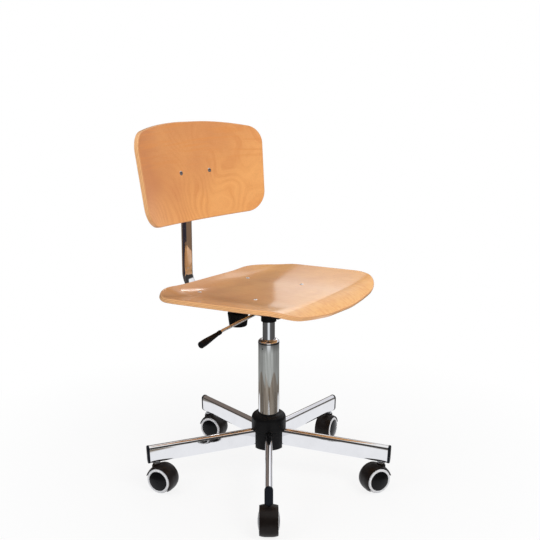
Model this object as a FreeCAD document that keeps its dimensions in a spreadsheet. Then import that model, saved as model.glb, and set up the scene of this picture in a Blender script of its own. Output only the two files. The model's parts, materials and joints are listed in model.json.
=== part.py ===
import FreeCAD, Part
import math
import os
import Sketcher
from FreeCAD import Vector

# Swivel desk chair with a plywood seat and back, a gas lift and a five-arm base on twin-wheel castors.
# Millimetres. Z is up, the chair faces -Y, and the origin is on the floor under the column's axis.
# +X is the sitter's left. The lever is on the sitter's right, at -X.

SIZES = (
    ("overrun", 2.0, "how far a cutting tool runs past the face that it cuts"),
    ("skin_gap", 0.1, "gap round a piece that is pushed into a tube"),
    ("run_gap", 0.05, "radial gap of a running fit"),
    ("rest_gap", 0.3, "gap between faces that pass each other"),
    # base arms
    ("arm_width", 16.5, "flat-oval arm tube, across"),
    ("arm_depth", 41.0, "flat-oval arm tube, from its underside to its rounded top"),
    ("arm_wall", 1.5, "arm tube wall"),
    ("arm_slope_angle", 2.4, "degrees that an arm drops towards its tip"),
    ("arm_reach", 280.0, "column axis to the open end of an arm tube"),
    ("arm_clearance", 2.4, "boss of a castor's hood up to the underside of the arm's end"),
    ("cap_plate", 5.0, "thickness of the end cap outside the tube"),
    ("cap_lip", 0.6, "how far the end cap stands past the tube all round"),
    ("cap_plug", 2.5, "length of the end cap inside the tube"),
    ("cap_edge", 1.8, "rounding of the end cap"),
    # hub
    ("hub_radius", 30.0, "outside of the welded hub sleeve"),
    ("hub_drop", 30.0, "top of an arm's end down to the underside of the hub sleeve"),
    ("hub_length", 52.0, "length of the hub sleeve"),
    ("cover_radius", 36.2, "outside of the lower part of the hub cover"),
    ("cover_flare", 3.5, "how much wider the upper part of the hub cover is, all round"),
    ("cover_wall", 2.5, "wall of the hub cover"),
    ("cover_drop", 5.0, "underside of the hub sleeve down to the bottom rim of the hub cover"),
    ("cover_skirt", 41.0, "bottom rim of the hub cover up to where it widens"),
    ("cover_side", 26.0, "height of the cover's wider part up to its rounded shoulder"),
    ("cover_round", 13.0, "height of the cover's rounded shoulder"),
    ("cover_collar", 28.5, "outside of the cover's collar round the column"),
    # column
    ("column_radius", 24.0, "outside of the column tube"),
    ("column_wall", 2.0, "wall of the column tube"),
    ("column_drop", 4.0, "underside of the hub sleeve down to the bottom of the column tube"),
    ("column_length", 246.5, "length of the column tube"),
    ("column_floor", 4.0, "thickness of the plate that closes the column tube"),
    ("pin_hole_radius", 1.5, "pin hole in the column tube"),
    ("pin_hole_drop", 9.5, "top rim of the column down to its pin hole"),
    ("bush_length", 56.0, "length of the guide bush inside the column"),
    ("bush_flange", 2.5, "height of the black flange of the guide bush"),
    ("bush_lip", 0.3, "how far the flange stands past the column tube"),
    ("dome_height", 6.0, "height of the domed chrome cap on the column"),
    ("dome_rim", 2.0, "height of the straight rim of the domed cap"),
    ("dome_gap", 1.0, "gap between the domed cap and the gas cylinder"),
    # gas lift
    ("cylinder_radius", 14.0, "outside of the gas cylinder"),
    ("cylinder_wall", 2.0, "wall of the gas cylinder"),
    ("cylinder_length", 242.0, "length of the gas cylinder"),
    ("cylinder_end", 8.0, "thickness of the gas cylinder's bottom guide"),
    ("cylinder_shown", 53.5, "column's top rim up to the start of the gas cylinder's taper, at rest"),
    ("cone_length", 20.0, "length of that taper"),
    ("cone_step", 1.0, "how much narrower the small end of the taper is, all round"),
    ("cylinder_head", 12.0, "solid length under the top of the gas cylinder"),
    ("rod_radius", 5.0, "piston rod"),
    ("rod_foot_radius", 4.0, "foot of the piston rod, through the column's floor"),
    ("rod_foot", 5.0, "length of the foot under the column's floor"),
    ("rod_collar_radius", 11.0, "collar of the piston rod on the thrust bearing"),
    ("rod_collar", 4.0, "height of that collar"),
    ("piston_drop", 28.5, "column's top rim down to the underside of the piston"),
    ("piston_length", 12.0, "length of the piston"),
    ("bearing_radius", 15.0, "thrust bearing"),
    ("bearing_height", 8.0, "height of the thrust bearing"),
    ("clip_radius", 8.0, "retaining clip under the column's floor"),
    ("clip_height", 1.6, "thickness of the clip"),
    ("button_radius", 3.0, "release button in the gas cylinder's head"),
    ("button_depth", 4.0, "how far the button reaches down, at rest"),
    # castors
    ("castor_inset", 16.0, "open end of an arm tube back to its castor's swivel axis"),
    ("castor_trail", 14.0, "swivel axis to wheel axle"),
    ("wheel_radius", 29.0, "outside of the tyre"),
    ("rim_radius", 22.4, "outside of the wheel disc, inside of the tyre"),
    ("wheel_gap", 0.6, "gap between the web and a wheel on each side of it"),
    ("wheel_width", 11.6, "a wheel's inner face to the edge of its dome"),
    ("wheel_dome", 3.6, "height of a wheel's dome"),
    ("wheel_hub", 9.0, "boss of the wheel disc round its axle"),
    ("wheel_recess", 3.0, "depth of the ring-shaped hollow in a wheel's inner face"),
    ("wheel_rib", 3.0, "thickness of the rim wall beside that hollow"),
    ("tyre_inset", 0.4, "a wheel's inner face to its tyre's"),
    ("tyre_width", 12.0, "width of a tyre"),
    ("tyre_round", 5.6, "rounding of the tyre's outer shoulder"),
    ("tyre_bevel", 1.0, "bevel of the tyre's inner shoulder"),
    ("axle_radius", 4.0, "castor axle"),
    ("axle_inset", 2.2, "edge of a wheel's dome back to the end of the axle"),
    ("fork_half", 7.0, "half the thickness of the web between the wheels"),
    ("web_radius", 22.0, "web of the hood round the axle"),
    ("hood_gap", 0.9, "gap between the tyre and the hood"),
    ("hood_wall", 3.2, "wall of the hood"),
    ("hood_half", 19.4, "half the width of the hood"),
    ("hood_crown", 14.0, "width over which the hood's top rounds down to its rim"),
    ("hood_front_angle", 166.0, "degrees from the trailing side, over the top, to the hood's front edge"),
    ("hood_back_angle", 42.0, "degrees from the trailing side down to the hood's lower edge"),
    ("hood_boss", 9.0, "radius of the boss under the stem's flange"),
    ("hood_boss_rise", 0.5, "top of the hood's shell up to the top of its boss"),
    ("stem_radius", 5.0, "castor stem"),
    ("stem_foot", 9.0, "wheel axle up to the bottom of a castor stem"),
    ("stem_drop", 8.0, "top of an arm's end down to the top of a castor stem"),
    ("stem_flange", 8.0, "radius of the flange of a castor stem"),
    ("stem_flange_height", 1.8, "height of that flange"),
    ("socket_half", 11.0, "half the length of the stem socket inside an arm"),
    # carrier under the seat
    ("carrier_depth", 54.0, "carrier's underside up to the seat's top, on the column axis"),
    ("seat_tilt_angle", 2.6, "degrees that the seat rises towards its front"),
    ("carrier_half", 28.0, "half the width of the pressed carrier"),
    ("carrier_wall", 3.0, "sheet of the carrier"),
    ("carrier_rise", 14.0, "start of the gas cylinder's taper up to the carrier's underside"),
    ("carrier_front", 46.0, "column axis to the carrier's front end"),
    ("carrier_rear", 152.0, "column axis to the carrier's open rear end"),
    ("boss_wall", 2.0, "wall of the carrier's cone socket"),
    ("shroud_length", 16.3, "length of the black collar round the top of the gas cylinder"),
    ("shroud_wall", 1.2, "wall of the collar"),
    ("shroud_lip", 2.0, "height of the collar's closed lip"),
    ("bar_end", 12.0, "seat screw to the end of a cross bar"),
    ("bar_width", 24.0, "width of a cross bar"),
    ("bar_sheet", 4.0, "thickness of a cross bar"),
    # seat
    ("seat_sheet", 10.5, "thickness of the seat shell"),
    ("seat_half_rear", 229.2, "half the seat's width at the rear"),
    ("seat_half_front", 218.0, "half the seat's width at the front"),
    ("seat_rear_edge", 175.8, "column axis to the seat's rear edge"),
    ("seat_front_edge", 176.2, "column axis to the seat's front corners"),
    ("seat_bulge", 16.9, "how far the middle of the front edge stands forward"),
    ("seat_bulge_half", 47.0, "half the width of that middle stretch"),
    ("seat_corner_rear", 102.7, "radius of the rear corners"),
    ("seat_corner_front", 93.0, "radius of the front corners"),
    ("seat_bulge_radius", 324.0, "radius where the front edge turns"),
    ("seat_flat_half", 78.0, "half the width of the flat middle of the seat"),
    ("seat_dish_radius", 613.0, "radius that raises the sides of the seat"),
    ("seat_margin", 30.0, "how far the blank runs past the sides of the seat"),
    ("seat_rise", 70.8, "rear edge forward to where the rear turns up"),
    ("seat_lip", 54.2, "front edge back to where the lip turns down"),
    ("seat_rear_radius", 161.0, "radius of the turned-up rear"),
    ("seat_front_radius", 76.3, "radius of the front lip"),
    ("seat_rear_angle", 34.0, "degrees that the rear of the blank turns up"),
    ("seat_front_angle", 68.0, "degrees that the front of the blank turns down"),
    ("screw_half", 89.0, "half the distance between the seat screws across the seat"),
    ("screw_front", 29.0, "column axis to the front seat screws"),
    ("screw_rear", 128.0, "column axis to the rear seat screws"),
    ("screw_radius", 3.0, "seat screw"),
    ("screw_head", 5.0, "radius of a seat screw's head"),
    ("screw_head_depth", 3.0, "height of a seat screw's head"),
    ("screw_length", 19.0, "length of a seat screw under its head"),
    # lever
    ("lever_radius", 3.5, "lever rod"),
    ("lever_rise", 9.3, "top of the gas cylinder up to the lever's axis over the release button"),
    ("lever_tail", 4.0, "how far the lever reaches past the column axis"),
    ("lever_droop_angle", 5.4, "degrees that the rod drops outwards"),
    ("grip_droop_angle", 11.5, "degrees that the grip drops outwards"),
    ("lever_bend", 165.0, "column axis to the bend of the rod"),
    ("lever_length", 62.0, "length of the rod past its bend"),
    ("pivot_offset", 20.0, "column axis to the lever's pivot"),
    ("pivot_radius", 2.5, "lever pin"),
    ("eye_radius", 6.0, "eye of the lever round its pin"),
    ("eye_half", 4.0, "half the width of that eye"),
    ("lug_half", 8.5, "middle plane to the outer face of a pivot lug"),
    ("lug_width", 12.0, "length of a pivot lug"),
    ("lug_height", 15.0, "height of a pivot lug over the carrier's floor"),
    ("slot_half", 6.0, "half the width of the lever's slot in the carrier"),
    ("slot_below", 8.3, "lever's axis over the button down to the bottom of its slot"),
    ("slot_above", 6.7, "lever's axis over the button up to the top of its slot"),
    ("grip_length", 66.0, "length of the grip"),
    ("grip_start_radius", 4.9, "grip at its inner end"),
    ("grip_neck_radius", 4.3, "grip at its narrowest, past the bead at its inner end"),
    ("grip_end_radius", 7.4, "grip at its thickest"),
    ("grip_edge", 3.2, "rounding of the grip's outer end"),
    ("grip_bore", 54.0, "depth of the grip's bore"),
    # clamp knob
    ("clamp_place", 88.0, "column axis to the clamp screw"),
    ("clamp_radius", 4.0, "clamp screw"),
    ("knob_radius", 24.5, "clamp knob at its upper rim"),
    ("knob_low_radius", 21.0, "clamp knob at its underside"),
    ("knob_gap", 3.0, "knob's neck up to the carrier's underside"),
    ("knob_height", 32.0, "height of the knob's ribbed body"),
    ("knob_neck", 10.0, "radius of the knob's neck"),
    ("knob_neck_height", 7.0, "height of the knob's neck"),
    ("knob_edge", 3.0, "rounding of the knob's lower edge"),
    ("groove_radius", 1.6, "radius of a groove"),
    ("knob_bore", 24.0, "how far the screw stands in the knob"),
    # back stem
    ("bar_across", 30.0, "flat-oval back stem, across"),
    ("bar_thick", 15.0, "flat-oval back stem, thickness"),
    ("bar_wall", 2.0, "wall of the back stem"),
    ("bar_place", 242.0, "column axis to the upright part of the back stem"),
    ("bar_rise", 18.5, "carrier's underside up to the axis of the stem's lower run"),
    ("bar_bend", 50.0, "bend radius of the stem's axis"),
    ("bar_front", 52.0, "column axis to the front end of the stem"),
    ("bar_over", 16.0, "hinge pin up to the top of the stem tube"),
    ("plug_height", 4.0, "thickness of the plug on the stem tube"),
    ("plug_depth", 8.0, "depth of the plug inside the stem tube"),
    ("guide_front", 50.0, "column axis to the front of the guide block"),
    ("guide_rear", 150.0, "column axis to the rear of the guide block"),
    # back
    ("hinge_rise", 250.0, "seat's top on the column axis up to the back's hinge pin"),
    ("hinge_radius", 4.0, "hinge pin"),
    ("hinge_head", 6.5, "radius of a pin head"),
    ("hinge_head_height", 2.0, "thickness of a pin head"),
    ("back_lean_angle", 8.4, "degrees that the back leans"),
    ("back_offset", 30.0, "hinge pin to the front face of the back"),
    ("back_drop", 10.8, "hinge pin down to the middle of the back's sides"),
    ("back_sheet", 10.0, "thickness of the back shell"),
    ("back_radius", 554.0, "radius of the back's hollow front face"),
    ("back_half_top", 219.6, "half the back's width at its upper corners"),
    ("back_half_low", 204.1, "half the back's width at its lower corners"),
    ("back_half_height", 100.7, "half the height between the corners"),
    ("back_arch", 26.2, "how far the top arches over the upper corners"),
    ("back_arch_half", 96.1, "half the width of the top's middle stretch"),
    ("back_corner_top", 44.0, "radius of the upper corners"),
    ("back_corner_low", 51.0, "radius of the lower corners"),
    ("back_arch_radius", 720.0, "radius where the top edge turns"),
    ("plate_half", 62.0, "half the width of the back plate"),
    ("plate_half_height", 20.0, "half the height of the back plate"),
    ("plate_sheet", 3.0, "thickness of the back plate"),
    ("ear_gap", 0.4, "gap between the stem and an ear of the back plate"),
    ("ear_radius", 12.0, "radius of an ear round the hinge pin"),
    ("bolt_half", 50.0, "half the distance between the back bolts"),
    ("bolt_radius", 3.0, "back bolt"),
    ("bolt_head", 5.6, "radius of a back bolt's head"),
    ("bolt_head_height", 2.4, "height of a back bolt's head"),
    ("bolt_seat", 1.0, "how deep a bolt head is let into the back"),
    ("nut_radius", 6.0, "radius across the corners of a nut"),
    ("nut_height", 4.5, "height of a nut"),
)

ARM_COUNT = 5
KNOB_GROOVES = 20
PICK_SHARE = 0.001
TURN = 360.0
QUARTER = 90.0
# Directions that the castors trail in, in degrees from +X, for the arms at 0, 72, 144, 216 and 288.
CASTOR_YAWS = (-171.0, -81.0, -79.0, -144.0, 151.0)

doc = FreeCAD.newDocument("desk_chair")
sheet = doc.addObject("Spreadsheet::Sheet", "sizes")
NUMBERS = {}
for row, (alias, number, meaning) in enumerate(SIZES, start=1):
    sheet.set("A%d" % row, str(number))
    sheet.setAlias("A%d" % row, alias)
    sheet.set("B%d" % row, meaning)
    NUMBERS[alias] = number
doc.recompute()


class Size:
    """A number together with the sheet formula that gives it."""

    def __init__(self, number, formula):
        self.number = number
        self.formula = formula

    def __add__(self, other):
        other = size_of(other)
        return Size(self.number + other.number, "(%s + %s)" % (self.formula, other.formula))

    def __sub__(self, other):
        other = size_of(other)
        return Size(self.number - other.number, "(%s - %s)" % (self.formula, other.formula))

    def __mul__(self, other):
        other = size_of(other)
        return Size(self.number * other.number, "(%s * %s)" % (self.formula, other.formula))

    def __truediv__(self, other):
        other = size_of(other)
        return Size(self.number / other.number, "(%s / %s)" % (self.formula, other.formula))

    def __neg__(self):
        return Size(-self.number, "(0 - %s)" % self.formula)


def size_of(value):
    """Wraps a plain number; a Size stays as it is."""
    if isinstance(value, Size):
        return value
    return Size(float(value), repr(float(value)))


def cosine(angle):
    angle = size_of(angle)
    return Size(math.cos(math.radians(angle.number)), "cos(%s)" % angle.formula)


def sine(angle):
    angle = size_of(angle)
    return Size(math.sin(math.radians(angle.number)), "sin(%s)" % angle.formula)


def slope_angle(rise, run):
    """The angle whose tangent is rise over run."""
    return Size(
        math.degrees(math.atan2(rise.number, run.number)), "atan2(%s; %s)" % (rise.formula, run.formula),
    )


def root(value):
    return Size(math.sqrt(value.number), "sqrt(%s)" % value.formula)


class Sheet:
    """Each alias of the sheet as a Size."""

    def __getattr__(self, alias):
        return Size(NUMBERS[alias], "sizes." + alias)


v = Sheet()
zero = size_of(0)
PARTS = {}

# Heights above the floor and other places that follow from the sizes
castor_radius = v.arm_reach - v.castor_inset
stem_bottom = v.wheel_radius + v.stem_foot
hood_top = v.wheel_radius * 2 + v.hood_gap + v.hood_wall + v.hood_boss_rise
arm_end_top = hood_top + v.arm_clearance + v.arm_depth
stem_top = arm_end_top - v.stem_drop
wheel_inner = v.fork_half + v.wheel_gap
wheel_edge = wheel_inner + v.wheel_width
wheel_outer = wheel_edge + v.wheel_dome
tyre_inner = wheel_inner + v.tyre_inset
tyre_outer = tyre_inner + v.tyre_width
axle_half = wheel_edge - v.axle_inset
hub_bottom = arm_end_top - v.hub_drop
hub_top = hub_bottom + v.hub_length
cover_bottom = hub_bottom - v.cover_drop
cover_step = cover_bottom + v.cover_skirt
cover_turn = cover_step + v.cover_side
cover_top = cover_turn + v.cover_round
cover_shoulder = v.cover_radius + v.cover_flare
column_bottom = hub_bottom - v.column_drop
column_top = column_bottom + v.column_length
piston_bottom = column_top - v.piston_drop
cone_bottom = column_top + v.cylinder_shown
cone_top = cone_bottom + v.cone_length
cone_radius = v.cylinder_radius - v.cone_step
cylinder_bottom = cone_top - v.cylinder_length
carrier_floor = cone_bottom + v.carrier_rise
shroud_bottom = carrier_floor - v.shroud_length
shroud_radius = v.cylinder_radius + v.boss_wall + v.rest_gap + v.shroud_wall
seat_height = carrier_floor + v.carrier_depth
seat_section_half = (v.seat_half_rear + v.seat_half_front) / 2 + v.seat_margin
seat_flat_rear = v.seat_rear_edge - v.seat_rise
seat_flat_front = v.seat_front_edge + v.seat_bulge - v.seat_lip
bar_reach = v.screw_half + v.bar_end
lever_height = cone_top + v.lever_rise
slot_low = lever_height - v.slot_below
slot_high = lever_height + v.slot_above
knob_bottom = carrier_floor - v.knob_gap - v.knob_neck_height - v.knob_height
bar_height = carrier_floor + v.bar_rise
hinge_height = seat_height + v.hinge_rise
hinge_half = v.bar_across / 2 + v.ear_gap + v.plate_sheet + v.rest_gap + v.skin_gap
bar_top = hinge_height + v.bar_over


def bind(item, name, value):
    """Ties a property to the sheet."""
    value = size_of(value)
    setattr(item, name, value.number)
    item.setExpression(name, value.formula)


def place(item, x=zero, y=zero, z=zero, yaw=zero, pitch=zero, roll=zero):
    """Ties a placement to the sheet: yaw about Z, then pitch about Y, then roll about X."""
    spot = "; ".join(size_of(each).formula for each in (x, y, z))
    turn = "; ".join(size_of(each).formula for each in (yaw, pitch, roll))
    formula = "create(<<placement>>; create(<<vector>>; %s); create(<<rotation>>; %s))" % (spot, turn)
    item.setExpression("Placement", formula)
    return item


def keep(item, node):
    """Registers a finished sub-part under its node name."""
    item.Label = node
    PARTS[node] = item
    return item


def spot(corner):
    return Vector(size_of(corner[0]).number, size_of(corner[1]).number, 0)


def pin_down(sketch, geometry, position, corner):
    """Fixes a sketch point at a place that the sheet gives, or only across where the corner has one entry."""
    for kind, value in zip(("DistanceX", "DistanceY"), corner):
        value = size_of(value)
        constraint = Sketcher.Constraint(kind, -1, 1, geometry, position, value.number)
        index = sketch.addConstraint(constraint)
        sketch.setExpression("Constraints[%d]" % index, value.formula)


def ends_of(sketch, number, start):
    """The edge's number, with its end points in the order that the outline runs."""
    near = sketch.getPoint(number, 1).distanceToPoint(start)
    far = sketch.getPoint(number, 2).distanceToPoint(start)
    return (number, 1, 2) if near < far else (number, 2, 1)


def draw(sketch, corners, closed=True):
    """Draws an outline through the corners; an open one stops at the last of them.

    A third entry in a corner is a point that the arc to the next corner passes through."""
    starts = corners if closed else corners[:-1]
    edges = []
    for index, corner in enumerate(starts):
        start = spot(corner)
        end = spot(corners[(index + 1) % len(corners)])
        if len(corner) == 3:
            edge = Part.Arc(start, spot(corner[2]), end)
        else:
            edge = Part.LineSegment(start, end)
        edges.append(ends_of(sketch, sketch.addGeometry(edge, False), start))
    followers = edges[1:] + edges[:1] if closed else edges[1:]
    for edge, after in zip(edges, followers):
        sketch.addConstraint(Sketcher.Constraint("Coincident", edge[0], edge[2], after[0], after[1]))
    for corner, (number, first, last) in zip(starts, edges):
        pin_down(sketch, number, first, corner)
        if len(corner) == 3:
            through = sketch.addGeometry(Part.Point(spot(corner[2])), True)
            pin_down(sketch, through, 1, corner[2])
            sketch.addConstraint(Sketcher.Constraint("PointOnObject", through, 1, number))
    if not closed:
        pin_down(sketch, edges[-1][0], edges[-1][2], corners[-1])


def draw_rounded(sketch, corners):
    """Closes an outline of straight sides whose corners (x, y, radius) are rounded by tangent arcs."""
    count = len(corners)
    points = [spot(corner) for corner in corners]
    begins = []
    ends = []
    for index, corner in enumerate(corners):
        radius = size_of(corner[2]).number
        back = (points[index - 1] - points[index]).normalize()
        onward = (points[(index + 1) % count] - points[index]).normalize()
        half = back.getAngle(onward) / 2
        begins.append(points[index] + back * (radius / math.tan(half)))
        ends.append(points[index] + onward * (radius / math.tan(half)))
    lines = []
    arcs = []
    for index, corner in enumerate(corners):
        radius = size_of(corner[2]).number
        back = (points[index - 1] - points[index]).normalize()
        onward = (points[(index + 1) % count] - points[index]).normalize()
        half = back.getAngle(onward) / 2
        middle = (back + onward).normalize()
        through = points[index] + middle * (radius / math.sin(half) - radius)
        number = sketch.addGeometry(Part.Arc(begins[index], through, ends[index]), False)
        arcs.append(ends_of(sketch, number, begins[index]))
        lines.append(sketch.addGeometry(Part.LineSegment(ends[index], begins[(index + 1) % count]), False))
    for index, corner in enumerate(corners):
        number, first, last = arcs[index]
        before = lines[index - 1]
        after = lines[index]
        vertex = sketch.addGeometry(Part.Point(points[index]), True)
        pin_down(sketch, vertex, 1, corner)
        sketch.addConstraint(Sketcher.Constraint("PointOnObject", vertex, 1, before))
        sketch.addConstraint(Sketcher.Constraint("PointOnObject", vertex, 1, after))
        sketch.addConstraint(Sketcher.Constraint("Tangent", before, 2, number, first))
        sketch.addConstraint(Sketcher.Constraint("Tangent", number, last, after, 1))
        radius = size_of(corner[2])
        size = sketch.addConstraint(Sketcher.Constraint("Radius", number, radius.number))
        sketch.setExpression("Constraints[%d]" % size, radius.formula)


def stadium(across, along):
    """A flat oval: straight sides closed by half circles; its long way is the second coordinate."""
    side = across / 2
    straight = along / 2 - side
    return (
        (side, -straight),
        (side, straight, (zero, along / 2)),
        (-side, straight),
        (-side, -straight, (zero, -along / 2)),
    )


def plane_of(body, role):
    return [each for each in body.Origin.OriginFeatures if each.Role == role][0]


def sketch_in(body, role, outlines, name):
    sketch = body.newObject("Sketcher::SketchObject", name + "_outline")
    sketch.AttachmentSupport = [(plane_of(body, role), "")]
    sketch.MapMode = "FlatFace"
    for outline in outlines:
        draw(sketch, outline)
    return sketch


def turned(name, corners, angle=None):
    """A body turned about Z through the corners (radius, height), all the way round if no angle is given."""
    body = doc.addObject("PartDesign::Body", name)
    sketch = sketch_in(body, "XZ_Plane", (corners,), name)
    solid = body.newObject("PartDesign::Revolution", name + "_turn")
    solid.Profile = sketch
    solid.ReferenceAxis = (sketch, ["V_Axis"])
    if angle is None:
        solid.Angle = TURN
    else:
        bind(solid, "Angle", angle)
    return body


def padded(name, role, outlines, length, both_ways=False, backwards=False):
    """A body that is one outline, with any holes in it, padded off an origin plane."""
    body = doc.addObject("PartDesign::Body", name)
    sketch = sketch_in(body, role, outlines, name)
    solid = body.newObject("PartDesign::Pad", name + "_pad")
    solid.Profile = sketch
    bind(solid, "Length", length)
    solid.Midplane = both_ways
    solid.Reversed = backwards
    return body


def cylinder(name, radius, height):
    item = doc.addObject("Part::Cylinder", name)
    bind(item, "Radius", radius)
    bind(item, "Height", height)
    return item


def box(name, x_low, x_high, y_low, y_high, z_low, z_high):
    """A box between two corners, with its own corner as the placement."""
    item = doc.addObject("Part::Box", name)
    bind(item, "Length", size_of(x_high) - x_low)
    bind(item, "Width", size_of(y_high) - y_low)
    bind(item, "Height", size_of(z_high) - z_low)
    return place(item, x_low, y_low, z_low)


def fused(name, items):
    item = doc.addObject("Part::MultiFuse", name)
    item.Shapes = list(items)
    return item


def cut(name, base, tool):
    item = doc.addObject("Part::Cut", name)
    item.Base = base
    item.Tool = tool
    return item


def common(name, base, tool):
    item = doc.addObject("Part::Common", name)
    item.Base = base
    item.Tool = tool
    return item


def extruded(name, section, direction, length, solid=True):
    """What a section sweeps as it moves straight on: a solid, or a sheet if the section is open."""
    item = doc.addObject("Part::Extrusion", name)
    item.Base = section
    item.DirMode = "Custom"
    item.Dir = direction
    item.Solid = solid
    bind(item, "LengthFwd", length)
    return item


def thickened(name, trimmed, thickness):
    """A board that lies against a trimmed sheet, with its edge square to the sheet all round."""
    trimmed.recompute(True)
    sewn = Part.makeShell(trimmed.Shape.Faces)
    sewn.sewShape()
    joined = doc.addObject("Part::Feature", name + "_face")
    joined.Shape = sewn
    board = doc.addObject("Part::Offset", name)
    board.Source = joined
    board.Fill = True
    bind(board, "Value", thickness)
    return board


def together(name, items):
    """Separate solids in one object."""
    item = doc.addObject("Part::Compound", name)
    item.Links = list(items)
    return item


def arm_angle(index):
    return TURN / ARM_COUNT * index


def around(radius, index):
    """The plan position at a radius on arm number index."""
    return radius * cosine(arm_angle(index)), radius * sine(arm_angle(index))


# Base: five flat-oval arms welded to a hub sleeve

arm_axis_end = arm_end_top - v.arm_depth / 2 / cosine(v.arm_slope_angle)
arm_inside_width = v.arm_width - v.arm_wall * 2
arm_inside_depth = v.arm_depth - v.arm_wall * 2


def set_on_arm(item, index, inwards):
    """Places an item whose X runs outwards along arm number index, inwards from the arm's open end."""
    radius = v.arm_reach - inwards * cosine(v.arm_slope_angle)
    x, y = around(radius, index)
    height = arm_axis_end + inwards * sine(v.arm_slope_angle)
    return place(item, x, y, height, yaw=arm_angle(index), pitch=v.arm_slope_angle)


def stem_holes(name, radius):
    """Upright cutters on the five swivel axes."""
    holes = []
    for index in range(ARM_COUNT):
        hole = cylinder("%s_%d" % (name, index + 1), radius, arm_end_top)
        x, y = around(castor_radius, index)
        holes.append(place(hole, x, y, stem_bottom))
    return holes


def make_arms():
    tubes = []
    outlines = (stadium(v.arm_width, v.arm_depth), stadium(arm_inside_width, arm_inside_depth))
    for index in range(ARM_COUNT):
        name = "arm_tube_%d" % (index + 1)
        tube = padded(name, "YZ_Plane", outlines, v.arm_reach - v.column_radius, backwards=True)
        tubes.append(set_on_arm(tube, index, zero))
    sleeve = cylinder("arm_notch", v.hub_radius, arm_end_top + v.arm_depth)
    underside_holes = stem_holes("arm_hole", v.stem_radius + v.run_gap)
    for hole in underside_holes:
        bind(hole, "Height", stem_top - stem_bottom)
    tools = fused("arm_tools", [sleeve] + underside_holes)
    keep(cut("arms_cut", together("arm_tubes", tubes), tools), "base_arms")


def make_arm_ends():
    caps = []
    sockets = []
    cap_outline = stadium(v.arm_width + v.cap_lip * 2, v.arm_depth + v.cap_lip * 2)
    plug_outline = stadium(arm_inside_width - v.skin_gap * 2, arm_inside_depth - v.skin_gap * 2)
    for index in range(ARM_COUNT):
        number = index + 1
        cap = padded("cap_%d" % number, "YZ_Plane", (cap_outline,), v.cap_plate)
        plug_sketch = sketch_in(cap, "YZ_Plane", (plug_outline,), "plug_%d" % number)
        plug = cap.newObject("PartDesign::Pad", "cap_plug_%d" % number)
        plug.Profile = plug_sketch
        bind(plug, "Length", v.cap_plug)
        plug.Reversed = True
        doc.recompute()
        rim = [
            "Edge%d" % (place_in_list + 1)
            for place_in_list, edge in enumerate(plug.Shape.Edges)
            if abs(edge.BoundBox.XMin - v.cap_plate.number) < PICK_SHARE * v.cap_plate.number
        ]
        rounding = cap.newObject("PartDesign::Fillet", "cap_round_%d" % number)
        rounding.Base = (plug, rim)
        bind(rounding, "Radius", v.cap_edge)
        cap.Tip = rounding
        caps.append(set_on_arm(cap, index, zero))
        socket = padded("socket_%d" % number, "YZ_Plane", (plug_outline,), v.socket_half * 2, both_ways=True)
        sockets.append(set_on_arm(socket, index, (v.arm_reach - castor_radius) / cosine(v.arm_slope_angle)))
    keep(together("caps_group", caps), "arm_end_caps")
    bores = together("socket_bores", stem_holes("socket_bore", v.stem_radius + v.run_gap))
    keep(cut("sockets_cut", together("sockets_group", sockets), bores), "castor_sockets")


def make_stems():
    """Castor stems: pins with a flange that the hood's boss turns under."""
    stems = []
    flange_bottom = hood_top + v.rest_gap
    flange_top = flange_bottom + v.stem_flange_height
    for index in range(ARM_COUNT):
        stem = turned("stem_%d" % (index + 1), (
            (zero, stem_bottom),
            (v.stem_radius, stem_bottom),
            (v.stem_radius, flange_bottom),
            (v.stem_flange, flange_bottom),
            (v.stem_flange, flange_top),
            (v.stem_radius, flange_top),
            (v.stem_radius, stem_top),
            (zero, stem_top),
        ))
        x, y = around(castor_radius, index)
        stems.append(place(stem, x, y))
    keep(together("stems_group", stems), "castor_stems")


def make_hub():
    keep(turned("hub", (
        (v.column_radius, hub_bottom),
        (v.hub_radius, hub_bottom),
        (v.hub_radius, hub_top),
        (v.column_radius, hub_top),
    )), "base_hub")


def make_hub_cover():
    """Black shell with a wider rounded shoulder and a slot for each arm."""
    inner_low = v.cover_radius - v.cover_wall
    inner_high = cover_shoulder - v.cover_wall
    opening = v.column_radius + v.rest_gap
    bend = (cover_shoulder - v.cover_collar) * (1 - math.cos(math.pi / 4))
    rise = (cover_top - cover_turn) * math.sin(math.pi / 4)
    inside_top = cover_top - v.cover_wall
    inside_rise = (inside_top - cover_turn) * math.sin(math.pi / 4)
    body = turned("cover", (
        (v.cover_radius, cover_bottom),
        (v.cover_radius, cover_step),
        (cover_shoulder, cover_step + v.cover_wall),
        (cover_shoulder, cover_turn, (cover_shoulder - bend, cover_turn + rise)),
        (v.cover_collar, cover_top),
        (opening, cover_top),
        (opening, inside_top),
        (v.cover_collar, inside_top, (inner_high - bend, cover_turn + inside_rise)),
        (inner_high, cover_turn),
        (inner_high, cover_step + v.cover_wall),
        (inner_low, cover_step),
        (inner_low, cover_bottom),
    ))
    half = v.arm_width / 2 + v.rest_gap
    arch = arm_end_top + (v.arm_reach - v.cover_radius) * sine(v.arm_slope_angle) + v.rest_gap * 2
    slot = sketch_in(body, "YZ_Plane", ((
        (half, cover_bottom - v.overrun),
        (half, arch - half, (zero, arch)),
        (-half, arch - half),
        (-half, cover_bottom - v.overrun),
    ),), "cover_slot")
    pocket = body.newObject("PartDesign::Pocket", "cover_slot_cut")
    pocket.Profile = slot
    bind(pocket, "Length", cover_shoulder + v.overrun)
    pocket.Reversed = True
    pattern = body.newObject("PartDesign::PolarPattern", "cover_slots")
    pattern.Originals = [pocket]
    pattern.Axis = (plane_of(body, "Z_Axis"), [""])
    pattern.Angle = TURN
    pattern.Occurrences = ARM_COUNT
    body.Tip = pattern
    keep(body, "hub_cover")


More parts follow.
